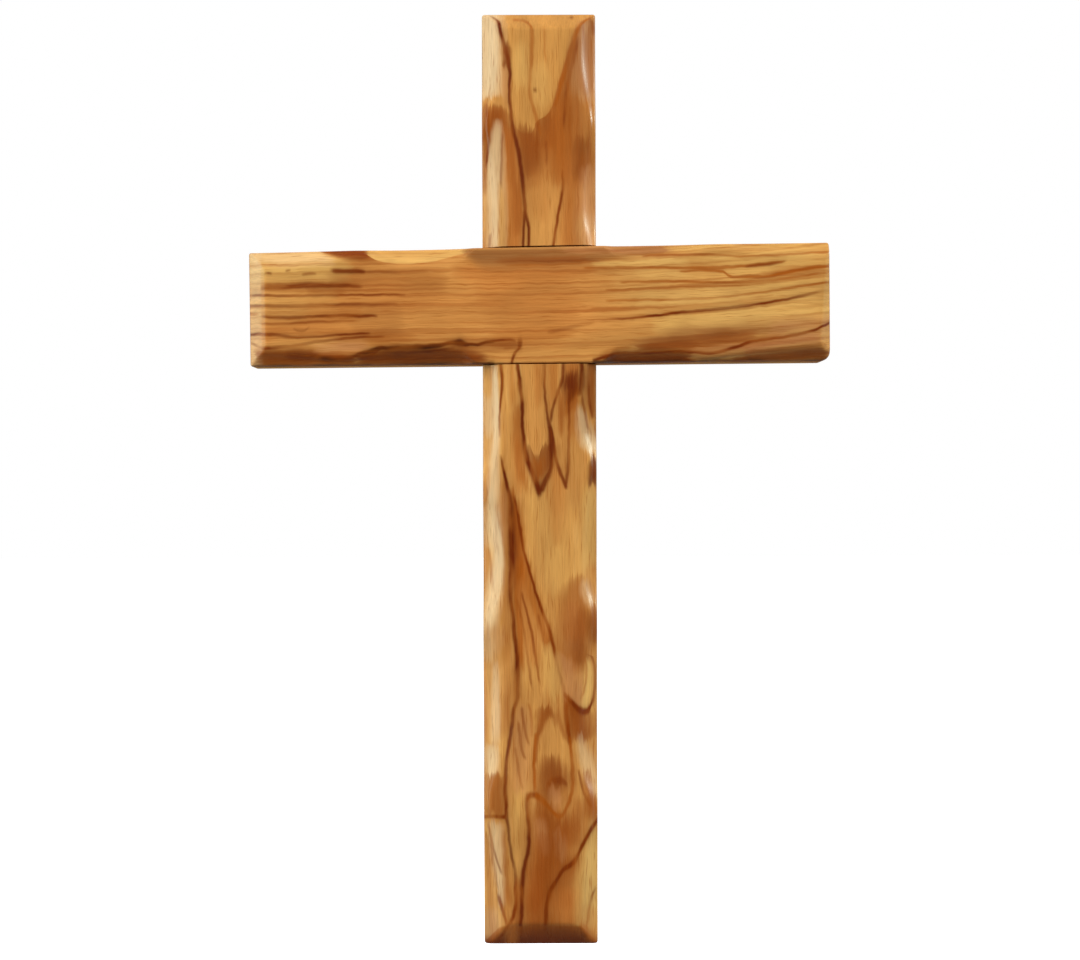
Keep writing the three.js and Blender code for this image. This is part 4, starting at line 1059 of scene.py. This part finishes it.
@dataclass
class CarvedBar:
    """A bar along Z with carved front edges, drawn in its own frame with its front facing -Y.

    Its smooth skin repeats the sizes of the CAD bar, with its arrises softly rounded.

    Attributes:
        name: The piece's name.
        slot: The name of a material slot; not used.
        finish: Its wood.
        bottom: Where it starts along its own Z.
        top: Where it ends.
        width_bottom: Its width at the bottom.
        width_top: Its width at the top.
        hollows: The hollows of its left edge and of its right edge.
        bottom_bevel: The bevel at its bottom.
        top_bevel: The bevel at its top.
        corner_radii: Bottom left, bottom right, top right and top left corner.
        turn: How far it is turned about Y.
        crest_width: What is left of the bevel on the crest between two hollows.
        depth_for_width: A hollow goes this much as far down the side as across the front.
        sag: How far a hollow is scooped below a flat bevel.
        crest_lean: A crest runs this far along the bar as it crosses the bevel.
        arris: Rounding of the edges that aren't carved.
        worn_side: Rounding of a carved edge towards the side.
        worn_front: And towards the front, where hands and sanding wear it most.
        crest_wear: Length over which a crest is worn down.
        bevel_blend: Rounding between the front and the end bevels.
        pitch: Step along the bar.
        lap_plane: The plane where the two bars' cheeks meet.
        shoulder: Half the other bar's width and the joint's clearance.
        askew_run: Length over which the skin follows a shoulder that lies askew.
    """

    name: str
    slot: str
    finish: OiledOliveWood
    bottom: float
    top: float
    width_bottom: float
    width_top: float
    hollows: tuple[tuple[Hollow, ...], tuple[Hollow, ...]]
    bottom_bevel: EndBevel
    top_bevel: EndBevel
    corner_radii: tuple[float, float, float, float] = (0.6, 0.6, 0.6, 0.6)
    turn: float = 0.0
    crest_width: float = 0.8
    depth_for_width: float = 0.85
    sag: float = 0.3
    crest_lean: float = 1.5
    arris: float = 0.35
    worn_side: float = 0.6
    worn_front: float = 2.2
    crest_wear: float = 4.0
    bevel_blend: float = 0.3
    pitch: float = 0.6
    lap_plane: float = -9.0
    shoulder: float = UPRIGHT_WIDTH / 2 + LAP_CLEARANCE
    askew_run: float = 12.0

    BACK_SHARES: ClassVar[tuple[float, ...]] = (0.0, 0.25, 0.5, 0.75, 0.92)
    END_ZONE: ClassVar[float] = 9.0  # the stations lie closer together over this length
    END_STEPS: ClassVar[tuple[float, ...]] = (0, 0.03, 0.08, 0.15, 0.24, 0.35, 0.5, 0.7, 0.95)
    LAP_STEPS: ClassVar[tuple[float, ...]] = (0.02, 0.08, 0.15, 0.24, 0.35, 0.6)
    BEVEL_MARGIN: ClassVar[float] = 2.0  # an end bevel's blend reaches this far past it
    SHARP_DEG: ClassVar[float] = 50.0  # faces that meet at more than this are shaded apart

    def keep_at(self, s: np.ndarray) -> np.ndarray:
        """The share of the carving that is left at s."""
        return np.ones_like(s)

    def shoulder_shift(self, s: np.ndarray, x: np.ndarray) -> np.ndarray:
        """How far a point at x is shifted along the bar, so that the lap's shoulders lie askew."""
        return np.zeros_like(x)

    def lap(self, s: np.ndarray, y: np.ndarray) -> np.ndarray:
        """Takes the halved joint's wood away from the skin's depths."""
        return y

    def fullness(self, hollows: Sequence[Hollow], s: np.ndarray) -> np.ndarray:
        """How far an edge is carved past its worn crests.

        Args:
            hollows: The edge's hollows.
            s: The stations along the bar.

        Returns:
            Millimetres across the front at the stations.
        """
        reach = np.linspace(-self.crest_wear, self.crest_wear, 9)
        rows = [
            np.max([h.cut(s + r) * (h.width - self.crest_width) for h in hollows], axis=0)
            for r in reach
        ]
        return np.mean(rows, axis=0)

    def bevel(self, hollows: Sequence[Hollow], s: np.ndarray) -> tuple[np.ndarray, np.ndarray, np.ndarray]:
        """The shape of one carved edge.

        Args:
            hollows: The edge's hollows.
            s: The stations along the bar.

        Returns:
            The bevel's width, depth and scoop at the stations.
        """
        keep = self.keep_at(s)
        width = np.maximum(self.arris, (self.crest_width + self.fullness(hollows, s)) * keep)
        deep = (self.crest_width + self.fullness(hollows, s + self.crest_lean)) * keep
        depth = np.maximum(self.arris, deep * self.depth_for_width)
        scoop = self.sag * np.minimum(1, self.fullness(hollows, s + self.crest_lean / 2)) * keep
        return width, depth, scoop

    def half_width(self, s: np.ndarray, sign: int) -> np.ndarray:
        """Half the bar's width on one side, with its end corners rounded.

        Args:
            s: The stations along the bar.
            sign: -1 for the left side and 1 for the right.

        Returns:
            The half width at the stations.
        """
        share = (s - self.bottom) / (self.top - self.bottom)
        half = (self.width_bottom + (self.width_top - self.width_bottom) * share) / 2
        low, high = (self.corner_radii[0], self.corner_radii[3]) if sign < 0 else self.corner_radii[1:3]
        return half - quarter_inset(s - self.bottom, low) - quarter_inset(self.top - s, high)

    def side_columns(self, s: np.ndarray, sign: int) -> list[tuple[np.ndarray, np.ndarray]]:
        """The skin's lines of points on one side, from the middle of the back to that of the front.

        Args:
            s: The stations along the bar.
            sign: -1 for the left side and 1 for the right.

        Returns:
            Arrays of x and y at the stations, one pair for each line of points.
        """
        half = self.half_width(s, sign)
        width, depth, scoop = self.bevel(self.hollows[0 if sign < 0 else 1], s)
        flat = np.zeros_like(s)
        r = self.arris
        edge = FRONT + depth
        length = np.hypot(width, depth)
        worn = np.minimum(self.worn_side, 0.3 * length)
        soft = np.minimum(self.worn_front, 0.5 * length)
        lead, tail = worn / length, soft / length
        corner = half - width

        def across(share: np.ndarray) -> tuple[np.ndarray, np.ndarray]:
            """A point on the bevel, from its side edge at share 0 to its front edge at 1."""
            dip = scoop * np.sin(np.pi * share) * math.sqrt(0.5)
            return half - width * share - dip, FRONT + depth * (1 - share) + dip

        inner, outer = across(lead), across(1 - tail)
        columns = [(half * share, flat) for share in self.BACK_SHARES]
        for angle in np.linspace(0, math.pi / 2, 4):  # the back's arris
            columns.append((half - r + r * math.sin(angle), flat - r + r * math.cos(angle)))
        for share in np.linspace(0, 1, 9)[1:]:  # the side
            columns.append((half, -r + (edge + worn + r) * share))
        for a, b, c in map(arc_shares, (0.33, 0.67)):  # its worn meeting with the bevel
            columns.append((a * half + b * half + c * inner[0], a * (edge + worn) + b * edge + c * inner[1]))
        for step in np.linspace(0, 1, 10):  # the bevel
            columns.append(across(lead + (1 - lead - tail) * step))
        for a, b, c in map(arc_shares, np.linspace(0, 1, 9)[1:-1]):  # its worn meeting with the front
            columns.append((a * outer[0] + b * corner + c * (corner - soft), a * outer[1] + (b + c) * FRONT))
        for share in np.linspace(1, 0, 10):  # the front
            columns.append(((corner - soft) * share, flat + FRONT))
        return [(sign * x, y) for x, y in columns]

    def end_planes(self, s: np.ndarray, x: np.ndarray, y: np.ndarray) -> np.ndarray:
        """Pushes the skin's front behind the flat bevels at the two ends, with soft meetings.

        Args:
            s: The stations along the bar.
            x: The x of one line of points.
            y: Its y.

        Returns:
            The new y.
        """
        ends = ((self.top_bevel, s - self.top, 1), (self.bottom_bevel, self.bottom - s, -1))
        for bevel, reach, side in ends:
            skew = math.radians(bevel.skew_deg)
            outward = reach * math.cos(skew) + side * x * math.sin(skew)
            plane = FRONT + bevel.depth * (1 + outward / bevel.width)
            fallen = quarter_inset(-reach, self.arris)
            near = outward > -bevel.width - self.BEVEL_MARGIN
            y = np.where(near, smooth_max(y, plane + fallen, self.bevel_blend), y)
            y = np.minimum(y, -fallen)
        return y

    def stations(self) -> np.ndarray:
        """Chooses the places along the bar that have points.

        Returns:
            The stations, close together at the bar's ends and at the lap's shoulders.
        """
        near = np.concatenate([self.END_STEPS, np.arange(1.2, self.END_ZONE, 0.25)])
        middle = np.arange(self.bottom + self.END_ZONE, self.top - self.END_ZONE, self.pitch)
        steps = np.array(self.LAP_STEPS)
        laps = [edge + side * steps for edge in (-self.shoulder, self.shoulder) for side in (-1, 1)]
        return np.unique(np.concatenate([self.bottom + near, self.top - near, middle, *laps]).round(4))

    def skin(self) -> np.ndarray:
        """Works out the skin's points.

        Returns:
            A ring of [x, y, z] for each station.
        """
        s = self.stations()
        right, left = self.side_columns(s, 1), self.side_columns(s, -1)
        columns = right + left[::-1][1:-1]
        rings = np.empty((len(s), len(columns), 3))
        for j, (x, y) in enumerate(columns):
            y = self.lap(s, self.end_planes(s, x, y))
            rings[:, j] = np.stack([x, y, s + self.shoulder_shift(s, x)], axis=1)
        return rings

    def build(self) -> bpy.types.Object:
        """Builds the bar's mesh, dresses it and seats it in the part's frame.

        Returns:
            The bar.
        """
        rings = self.skin()
        stations, count, _ = rings.shape
        index = np.arange(stations * count).reshape(stations, count)
        a, b = index, np.roll(index, -1, axis=1)
        quads = np.stack([a[:-1], a[1:], b[1:], b[:-1]], axis=-1).reshape(-1, 4)
        faces = quads.tolist() + [index[0].tolist(), index[-1][::-1].tolist()]
        mesh = bpy.data.meshes.new(self.name)
        mesh.from_pydata((rings.reshape(-1, 3) * MM).tolist(), [], faces)
        work = bmesh.new()
        work.from_mesh(mesh)
        bmesh.ops.remove_doubles(work, verts=work.verts, dist=1e-6)
        bmesh.ops.recalc_face_normals(work, faces=work.faces)
        work.to_mesh(mesh)
        work.free()
        bar = bpy.data.objects.new(self.name, mesh)
        bpy.context.scene.collection.objects.link(bar)
        self.finish_mesh(bar)
        bar.data.polygons.foreach_set("use_smooth", [True] * len(bar.data.polygons))
        bar.data.set_sharp_from_angle(angle=math.radians(self.SHARP_DEG))
        bar.data.materials.clear()
        bar.data.materials.append(self.finish.build())
        bar.matrix_world = Matrix.Rotation(self.turn, 4, "Y")
        return bar

    def finish_mesh(self, bar: bpy.types.Object) -> None:
        """Makes any cuts that the skin can't carry."""


@dataclass
class Upright(CarvedBar):
    """The long bar, halved from the front and with the hanger's pocket in its back.

    Attributes:
        beam_flare: How fast half the crossbeam's width grows along it.
        shoulder: Half the crossbeam's width and the joint's clearance.
        lap_arris: Rounding of the front's edge at the joint.
        lap_rim: The plane in front of which that edge is rounded.
        pocket: The pocket's left, right, low and high wall.
        pocket_depth: Its depth.
        pocket_corner: The radius of its corners, left by the cutter.
        nail_places: The x and z of each nail.
        nail_hole: The radius of its hole.
        nail_depth: How deep the hole goes.
    """

    beam_flare: float = (BEAM_WIDTH_RIGHT - BEAM_WIDTH_LEFT) / 2 / (2 * BEAM_END)
    shoulder: float = (BEAM_WIDTH_LEFT + BEAM_WIDTH_RIGHT) / 4 + LAP_CLEARANCE
    lap_arris: float = 0.15
    lap_rim: float = -12.0
    pocket: tuple[float, float, float, float] = (-11.7, 11.7, 47.1, 63.3)
    pocket_depth: float = 3.6
    pocket_corner: float = 3.0
    nail_places: tuple[tuple[float, float], ...] = ((-8.3, 58.6), (8.3, 58.6))
    nail_hole: float = 1.0
    nail_depth: float = 12.0

    OVERRUN: ClassVar[float] = 1.0  # a cutter passes the surface that it cuts by this much

    def shoulder_shift(self, s: np.ndarray, x: np.ndarray) -> np.ndarray:
        """How far a point at x is shifted along the bar, to follow the tilted, flaring crossbeam."""
        slope = math.tan(BEAM_TILT) + self.beam_flare * np.clip(s / self.shoulder, -1, 1)
        return x * slope * np.clip(1 - (np.abs(s) - self.shoulder) / self.askew_run, 0, 1)

    def lap(self, s: np.ndarray, y: np.ndarray) -> np.ndarray:
        """Takes the front half of the wood away between the shoulders, and eases its edges.

        Args:
            s: The stations along the bar.
            y: The depths of one line of points.

        Returns:
            The new depths.
        """
        beyond = np.abs(s) - self.shoulder
        eased = quarter_inset(np.maximum(beyond, 0), self.lap_arris)
        y = np.where((beyond > 0) & (y < self.lap_rim), y + eased, y)
        return np.where(beyond <= 0, np.maximum(y, self.lap_plane), y)

    def finish_mesh(self, bar: bpy.types.Object) -> None:
        """Cuts the hanger's pocket and the nails' holes into the back."""
        left, right, low, high = self.pocket
        r = self.pocket_corner
        centres = ((right - r, high - r), (left + r, high - r), (left + r, low + r), (right - r, low + r))
        outline = [
            (x + r * math.cos(angle), z + r * math.sin(angle))
            for quarter, (x, z) in enumerate(centres)
            for angle in np.radians(np.linspace(90 * quarter, 90 * quarter + 90, 9))
        ]
        self.cut(bar, outline, -self.pocket_depth, self.OVERRUN)
        for x, z in self.nail_places:
            ring = [
                (x + self.nail_hole * math.cos(angle), z + self.nail_hole * math.sin(angle))
                for angle in np.linspace(0, 2 * math.pi, 25)[:-1]
            ]
            self.cut(bar, ring, -self.nail_depth, -self.pocket_depth + self.OVERRUN / 2)

    def cut(
        self, bar: bpy.types.Object, outline: Sequence[tuple[float, float]], deep: float, high: float
    ) -> None:
        """Cuts a straight-walled hollow into the bar's back.

        Args:
            bar: The bar.
            outline: Its outline as (x, z).
            deep: The y of its floor.
            high: The y up to which it is cut.
        """
        work = bmesh.new()
        floor = [work.verts.new((x * MM, deep * MM, z * MM)) for x, z in outline]
        roof = [work.verts.new((x * MM, high * MM, z * MM)) for x, z in outline]
        work.faces.new(floor)
        work.faces.new(roof[::-1])
        for i in range(len(floor)):
            j = (i + 1) % len(floor)
            work.faces.new((floor[j], floor[i], roof[i], roof[j]))
        bmesh.ops.recalc_face_normals(work, faces=work.faces)
        mesh = bpy.data.meshes.new("cutter")
        work.to_mesh(mesh)
        work.free()
        cutter = bpy.data.objects.new("cutter", mesh)
        bpy.context.scene.collection.objects.link(cutter)
        modifier = bar.modifiers.new("cut", "BOOLEAN")
        modifier.operation, modifier.object, modifier.solver = "DIFFERENCE", cutter, "EXACT"
        evaluated = bar.evaluated_get(bpy.context.evaluated_depsgraph_get())
        shaped = bpy.data.meshes.new_from_object(evaluated)
        bar.modifiers.clear()
        bar.data = shaped
        bpy.data.objects.remove(cutter)


@dataclass
class Crossbeam(CarvedBar):
    """The short bar, halved from the back, whose carving dies away beside the upright.

    Attributes:
        run_out: Length over which it dies away.
    """

    run_out: float = 6.0

    def keep_at(self, s: np.ndarray) -> np.ndarray:
        """The share of the carving that is left at s: none in front of the upright."""
        share = np.clip((np.abs(s) - UPRIGHT_WIDTH / 2) / self.run_out, 0, 1)
        return share * share * (3 - 2 * share)

    def shoulder_shift(self, s: np.ndarray, x: np.ndarray) -> np.ndarray:
        """How far a point at x is shifted along the bar, to stand plumb beside the upright."""
        return -x * math.tan(BEAM_TILT) * np.clip(1 - (np.abs(s) - self.shoulder) / self.askew_run, 0, 1)

    def lap(self, s: np.ndarray, y: np.ndarray) -> np.ndarray:
        """Takes the back half of the wood away between the shoulders."""
        return np.where(np.abs(s) <= self.shoulder, np.minimum(y, self.lap_plane), y)


# Studio


@dataclass(frozen=True)
class Lamp:
    """A softbox. Places and sizes in millimetres, its light in watts."""

    name: str
    place: tuple[float, float, float]
    aim: tuple[float, float, float]
    size: tuple[float, float]
    watts: float
    colour: str = "FFFFFF"

    def build(self) -> None:
        """Hangs the lamp."""
        light = bpy.data.lights.new(self.name, "AREA")
        light.shape, light.size, light.size_y = "RECTANGLE", self.size[0] * MM, self.size[1] * MM
        light.energy, light.color = self.watts, linear(self.colour)[:3]
        lamp = bpy.data.objects.new(self.name, light)
        bpy.context.scene.collection.objects.link(lamp)
        lamp.location = Vector(self.place) * MM
        lamp.rotation_euler = (Vector(self.aim) - Vector(self.place)).to_track_quat("-Z", "Y").to_euler()


@dataclass(frozen=True)
class Studio:
    """A pale room with soft lamps, and the camera where the photographer stood.

    Attributes:
        px_per_mm: The picture's scale where the bars' outline lies.
        outline_y: The depth of that outline.
        distance: From the camera to it.
        image: The picture's width and height in pixels.
        crossing_px: Where the middle of the crossing is in it.
        roll_deg: How far the picture is turned.
        sensor: The width of the camera's sensor.
        clip: How near and how far the camera sees.
        floor_z: The floor's height.
        floor_reach: Half the floor's width.
        board_lit: The floor's colour where it lights the cross.
        board_seen: Its colour where it is seen.
        board_glow: Light that it sends to the camera only, so that it looks nearly white.
        room_below: The room's light from below.
        room_above: And from above.
        lamps: The lamps. Two narrow windows light the carved edges, and a softbox the front.
    """

    px_per_mm: float = 3.655
    outline_y: float = -13.6
    distance: float = 704.0
    image: tuple[int, int] = (1080, 960)
    crossing_px: tuple[float, float] = (539.3, 306.0)
    roll_deg: float = 0.172
    sensor: float = 36.0
    clip: tuple[float, float] = (10.0, 20000.0)
    floor_z: float = -250.0
    floor_reach: float = 6000.0
    board_lit: str = "7F7C78"
    board_seen: str = "F4F4F2"
    board_glow: float = 0.7
    room_below: float = 0.04
    room_above: float = 0.5
    lamps: tuple[Lamp, ...] = (
        Lamp("left_window", (-620, -105, -20), (0, -15, -50), (45, 620), 2.9, "C4DCF5"),
        Lamp("top_softbox", (-125, -1150, 860), (0, 0, -60), (2000, 1300), 23.0),
        Lamp("right_window", (1400, 130, 430), (13, -16, 0), (260, 100), 18.2, "C4DCF5"),
    )

    def build(self) -> None:
        """Builds the camera, the lamps, the world and the floor."""
        self.build_camera()
        for lamp in self.lamps:
            lamp.build()
        self.build_world()
        self.build_floor()

    def build_camera(self) -> None:
        """Stands the camera in front of the cross, level and a little below its crossing."""
        camera = bpy.data.objects.new("camera", bpy.data.cameras.new("camera"))
        bpy.context.scene.collection.objects.link(camera)
        width, height = self.image
        camera.data.sensor_fit = "HORIZONTAL"
        camera.data.sensor_width = self.sensor
        camera.data.lens = self.sensor * self.distance * self.px_per_mm / width
        camera.data.clip_start, camera.data.clip_end = (limit * MM for limit in self.clip)
        aside = (width / 2 - self.crossing_px[0]) / self.px_per_mm
        up = (self.crossing_px[1] - height / 2) / self.px_per_mm
        roll = math.radians(self.roll_deg)
        right = Vector((math.cos(roll), 0, -math.sin(roll)))
        top = Vector((math.sin(roll), 0, math.cos(roll)))
        place = right * aside + top * up + Vector((0, self.outline_y - self.distance, 0))
        turn = Matrix((right, top, Vector((0, -1, 0)))).transposed()
        camera.matrix_world = Matrix.Translation(place * MM) @ turn.to_4x4()
        bpy.context.scene.camera = camera

    def shows_background(self, g: Graph) -> Socket:
        """Tells the rays that carry the background: seen, mirrored or through glass.

        Args:
            g: The nodes of a material or of the world.

        Returns:
            1 for such a ray and 0 for the light that falls on the cross.
        """
        ray = g.add("LightPath").outputs
        seen = g.math("MAXIMUM", ray["Is Camera Ray"], ray["Is Glossy Ray"])
        return g.math("MAXIMUM", seen, ray["Is Transmission Ray"])

    def build_world(self) -> None:
        """Builds a white backdrop, and a room that lights from above more than from below."""
        world = bpy.data.worlds.new("studio")
        bpy.context.scene.world = world
        world.use_nodes = True
        world.node_tree.nodes.clear()
        g = Graph(world.node_tree)
        up = g.add("SeparateXYZ", {0: g.add("TexCoord").outputs["Generated"]}).outputs["Z"]
        room = g.remap(up, -0.6, 0.7, self.room_below, self.room_above)
        shown = {"Factor": self.shows_background(g), "A": room, "B": 1.0}
        strength = g.out("Mix", shown, data_type="FLOAT")
        light = g.out("Background", {"Color": linear("FFFFFF"), "Strength": strength})
        g.add("OutputWorld", {"Surface": light})

    def build_floor(self) -> None:
        """Lays a plain pale floor below the hanging cross, which keeps its shadow."""
        mesh = bpy.data.meshes.new("floor")
        r = self.floor_reach * MM
        mesh.from_pydata([(-r, -r, 0), (r, -r, 0), (r, r, 0), (-r, r, 0)], [], [(0, 1, 2, 3)])
        floor = bpy.data.objects.new("floor", mesh)
        bpy.context.scene.collection.objects.link(floor)
        floor.location.z = self.floor_z * MM
        material = bpy.data.materials.new("painted_board_floor")
        g = new_graph(material)
        board = g.mix(self.shows_background(g), linear(self.board_lit), linear(self.board_seen))
        glow = g.math("MULTIPLY", g.add("LightPath").outputs["Is Camera Ray"], self.board_glow)
        diffuse = g.out("BsdfDiffuse", {"Color": board})
        light = g.out("Emission", {"Color": linear("FFFFFF"), "Strength": glow})
        g.add("OutputMaterial", {"Surface": g.out("AddShader", {0: diffuse, 1: light})})
        mesh.materials.append(material)


@dataclass
class Hanger:
    """The stamped sawtooth hanger and its two nails, which are the CAD part's own solids."""

    strip: str = "sawtooth_hanger"
    nails: tuple[str, ...] = ("hanger_nail_left", "hanger_nail_right")
    broken_edge: float = 0.08

    def dress(self) -> None:
        """Gives each node its finish and a fine rounding."""
        plate = StampedBrass("stamped_brass_plate").build()
        head = StampedBrass("drawn_brass_wire", hue="D0AC6A", roughness=0.26).build()
        for name, material in ((self.strip, plate), *((nail, head) for nail in self.nails)):
            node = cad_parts[name]
            node.data.materials.clear()
            node.data.materials.append(material)
            bevel = node.modifiers.new("broken_edges", "BEVEL")
            bevel.width, bevel.segments, bevel.limit_method = self.broken_edge * MM, 2, "ANGLE"
            bevel.angle_limit = math.radians(40)
            log.info("dressed %s", name)


def hollows(*rows: tuple[float, float, float, float]) -> tuple[Hollow, ...]:
    """An edge's hollows, from their starts, ends, widths and deepest places."""
    return tuple(Hollow(*row) for row in rows)


UPRIGHT = Upright(
    name="carved_upright",
    slot="upright_wood",
    finish=OiledOliveWood(
        "oiled_olive_wood_upright", UPRIGHT_BOTTOM, UPRIGHT_TOP, UPRIGHT_FIGURE, ring_seed=31.0,
        line_share=0.15,
    ),
    bottom=UPRIGHT_BOTTOM,
    top=UPRIGHT_TOP,
    width_bottom=UPRIGHT_WIDTH,
    width_top=UPRIGHT_WIDTH,
    hollows=(
        hollows(
            (96, 51, 5.3, 0.55), (51, 4, 5.2, 0.6), (-4, -48, 5, 0.5),
            (-48, -86, 6.6, 0.62), (-86, -134, 5.4, 0.62), (-134, -204, 6, 0.5),
        ),
        hollows(
            (96, 51, 5, 0.6), (51, 14, 4.6, 0.68), (-8, -42.5, 5.2, 0.62),
            (-42.5, -84, 5, 0.7), (-84, -135.5, 6, 0.72), (-135.5, -204, 5.4, 0.5),
        ),
    ),
    bottom_bevel=EndBevel(6.2, 4),
    top_bevel=EndBevel(4.2, 3.6),
)

# Its top is the right end, and its left edge the upper one, once it is turned
CROSSBEAM = Crossbeam(
    name="carved_crossbeam",
    slot="crossbeam_wood",
    finish=OiledOliveWood(
        "oiled_olive_wood_crossbeam", -BEAM_END, BEAM_END, CROSSBEAM_FIGURE, ring_seed=12.0, line_share=0.9,
        sweep=0.0008,
    ),
    bottom=-BEAM_END,
    top=BEAM_END,
    width_bottom=BEAM_WIDTH_LEFT,
    width_top=BEAM_WIDTH_RIGHT,
    hollows=(
        hollows((-108, -47.5, 3.8, 0.5), (-47.5, -14, 3.7, 0.4), (14, 49, 2.8, 0.5), (49, 112, 3, 0.5)),
        hollows((-108, -54, 4.6, 0.5), (-54, -12, 4.6, 0.5), (12, 45.5, 3.6, 0.5), (45.5, 112, 4.2, 0.52)),
    ),
    bottom_bevel=EndBevel(4.8, 4),
    top_bevel=EndBevel(2, 1.8, 4.6),
    corner_radii=(0.6, 0.6, 2.4, 0.6),
    turn=math.pi / 2 - BEAM_TILT,
)


def main() -> None:
    """Builds the cross and the studio round it."""
    logging.basicConfig(level=logging.INFO, format="%(name)s: %(message)s")
    scene = bpy.context.scene
    scene.view_settings.view_transform = "Standard"
    Studio().build()
    for bar, node in ((UPRIGHT, "upright"), (CROSSBEAM, "crossbeam")):
        piece = bar.build()
        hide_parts(node)
        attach(piece, "root")
        log.info("built %s with %d faces", piece.name, len(piece.data.polygons))
    Hanger().dress()


if __name__ == "__main__":
    main()
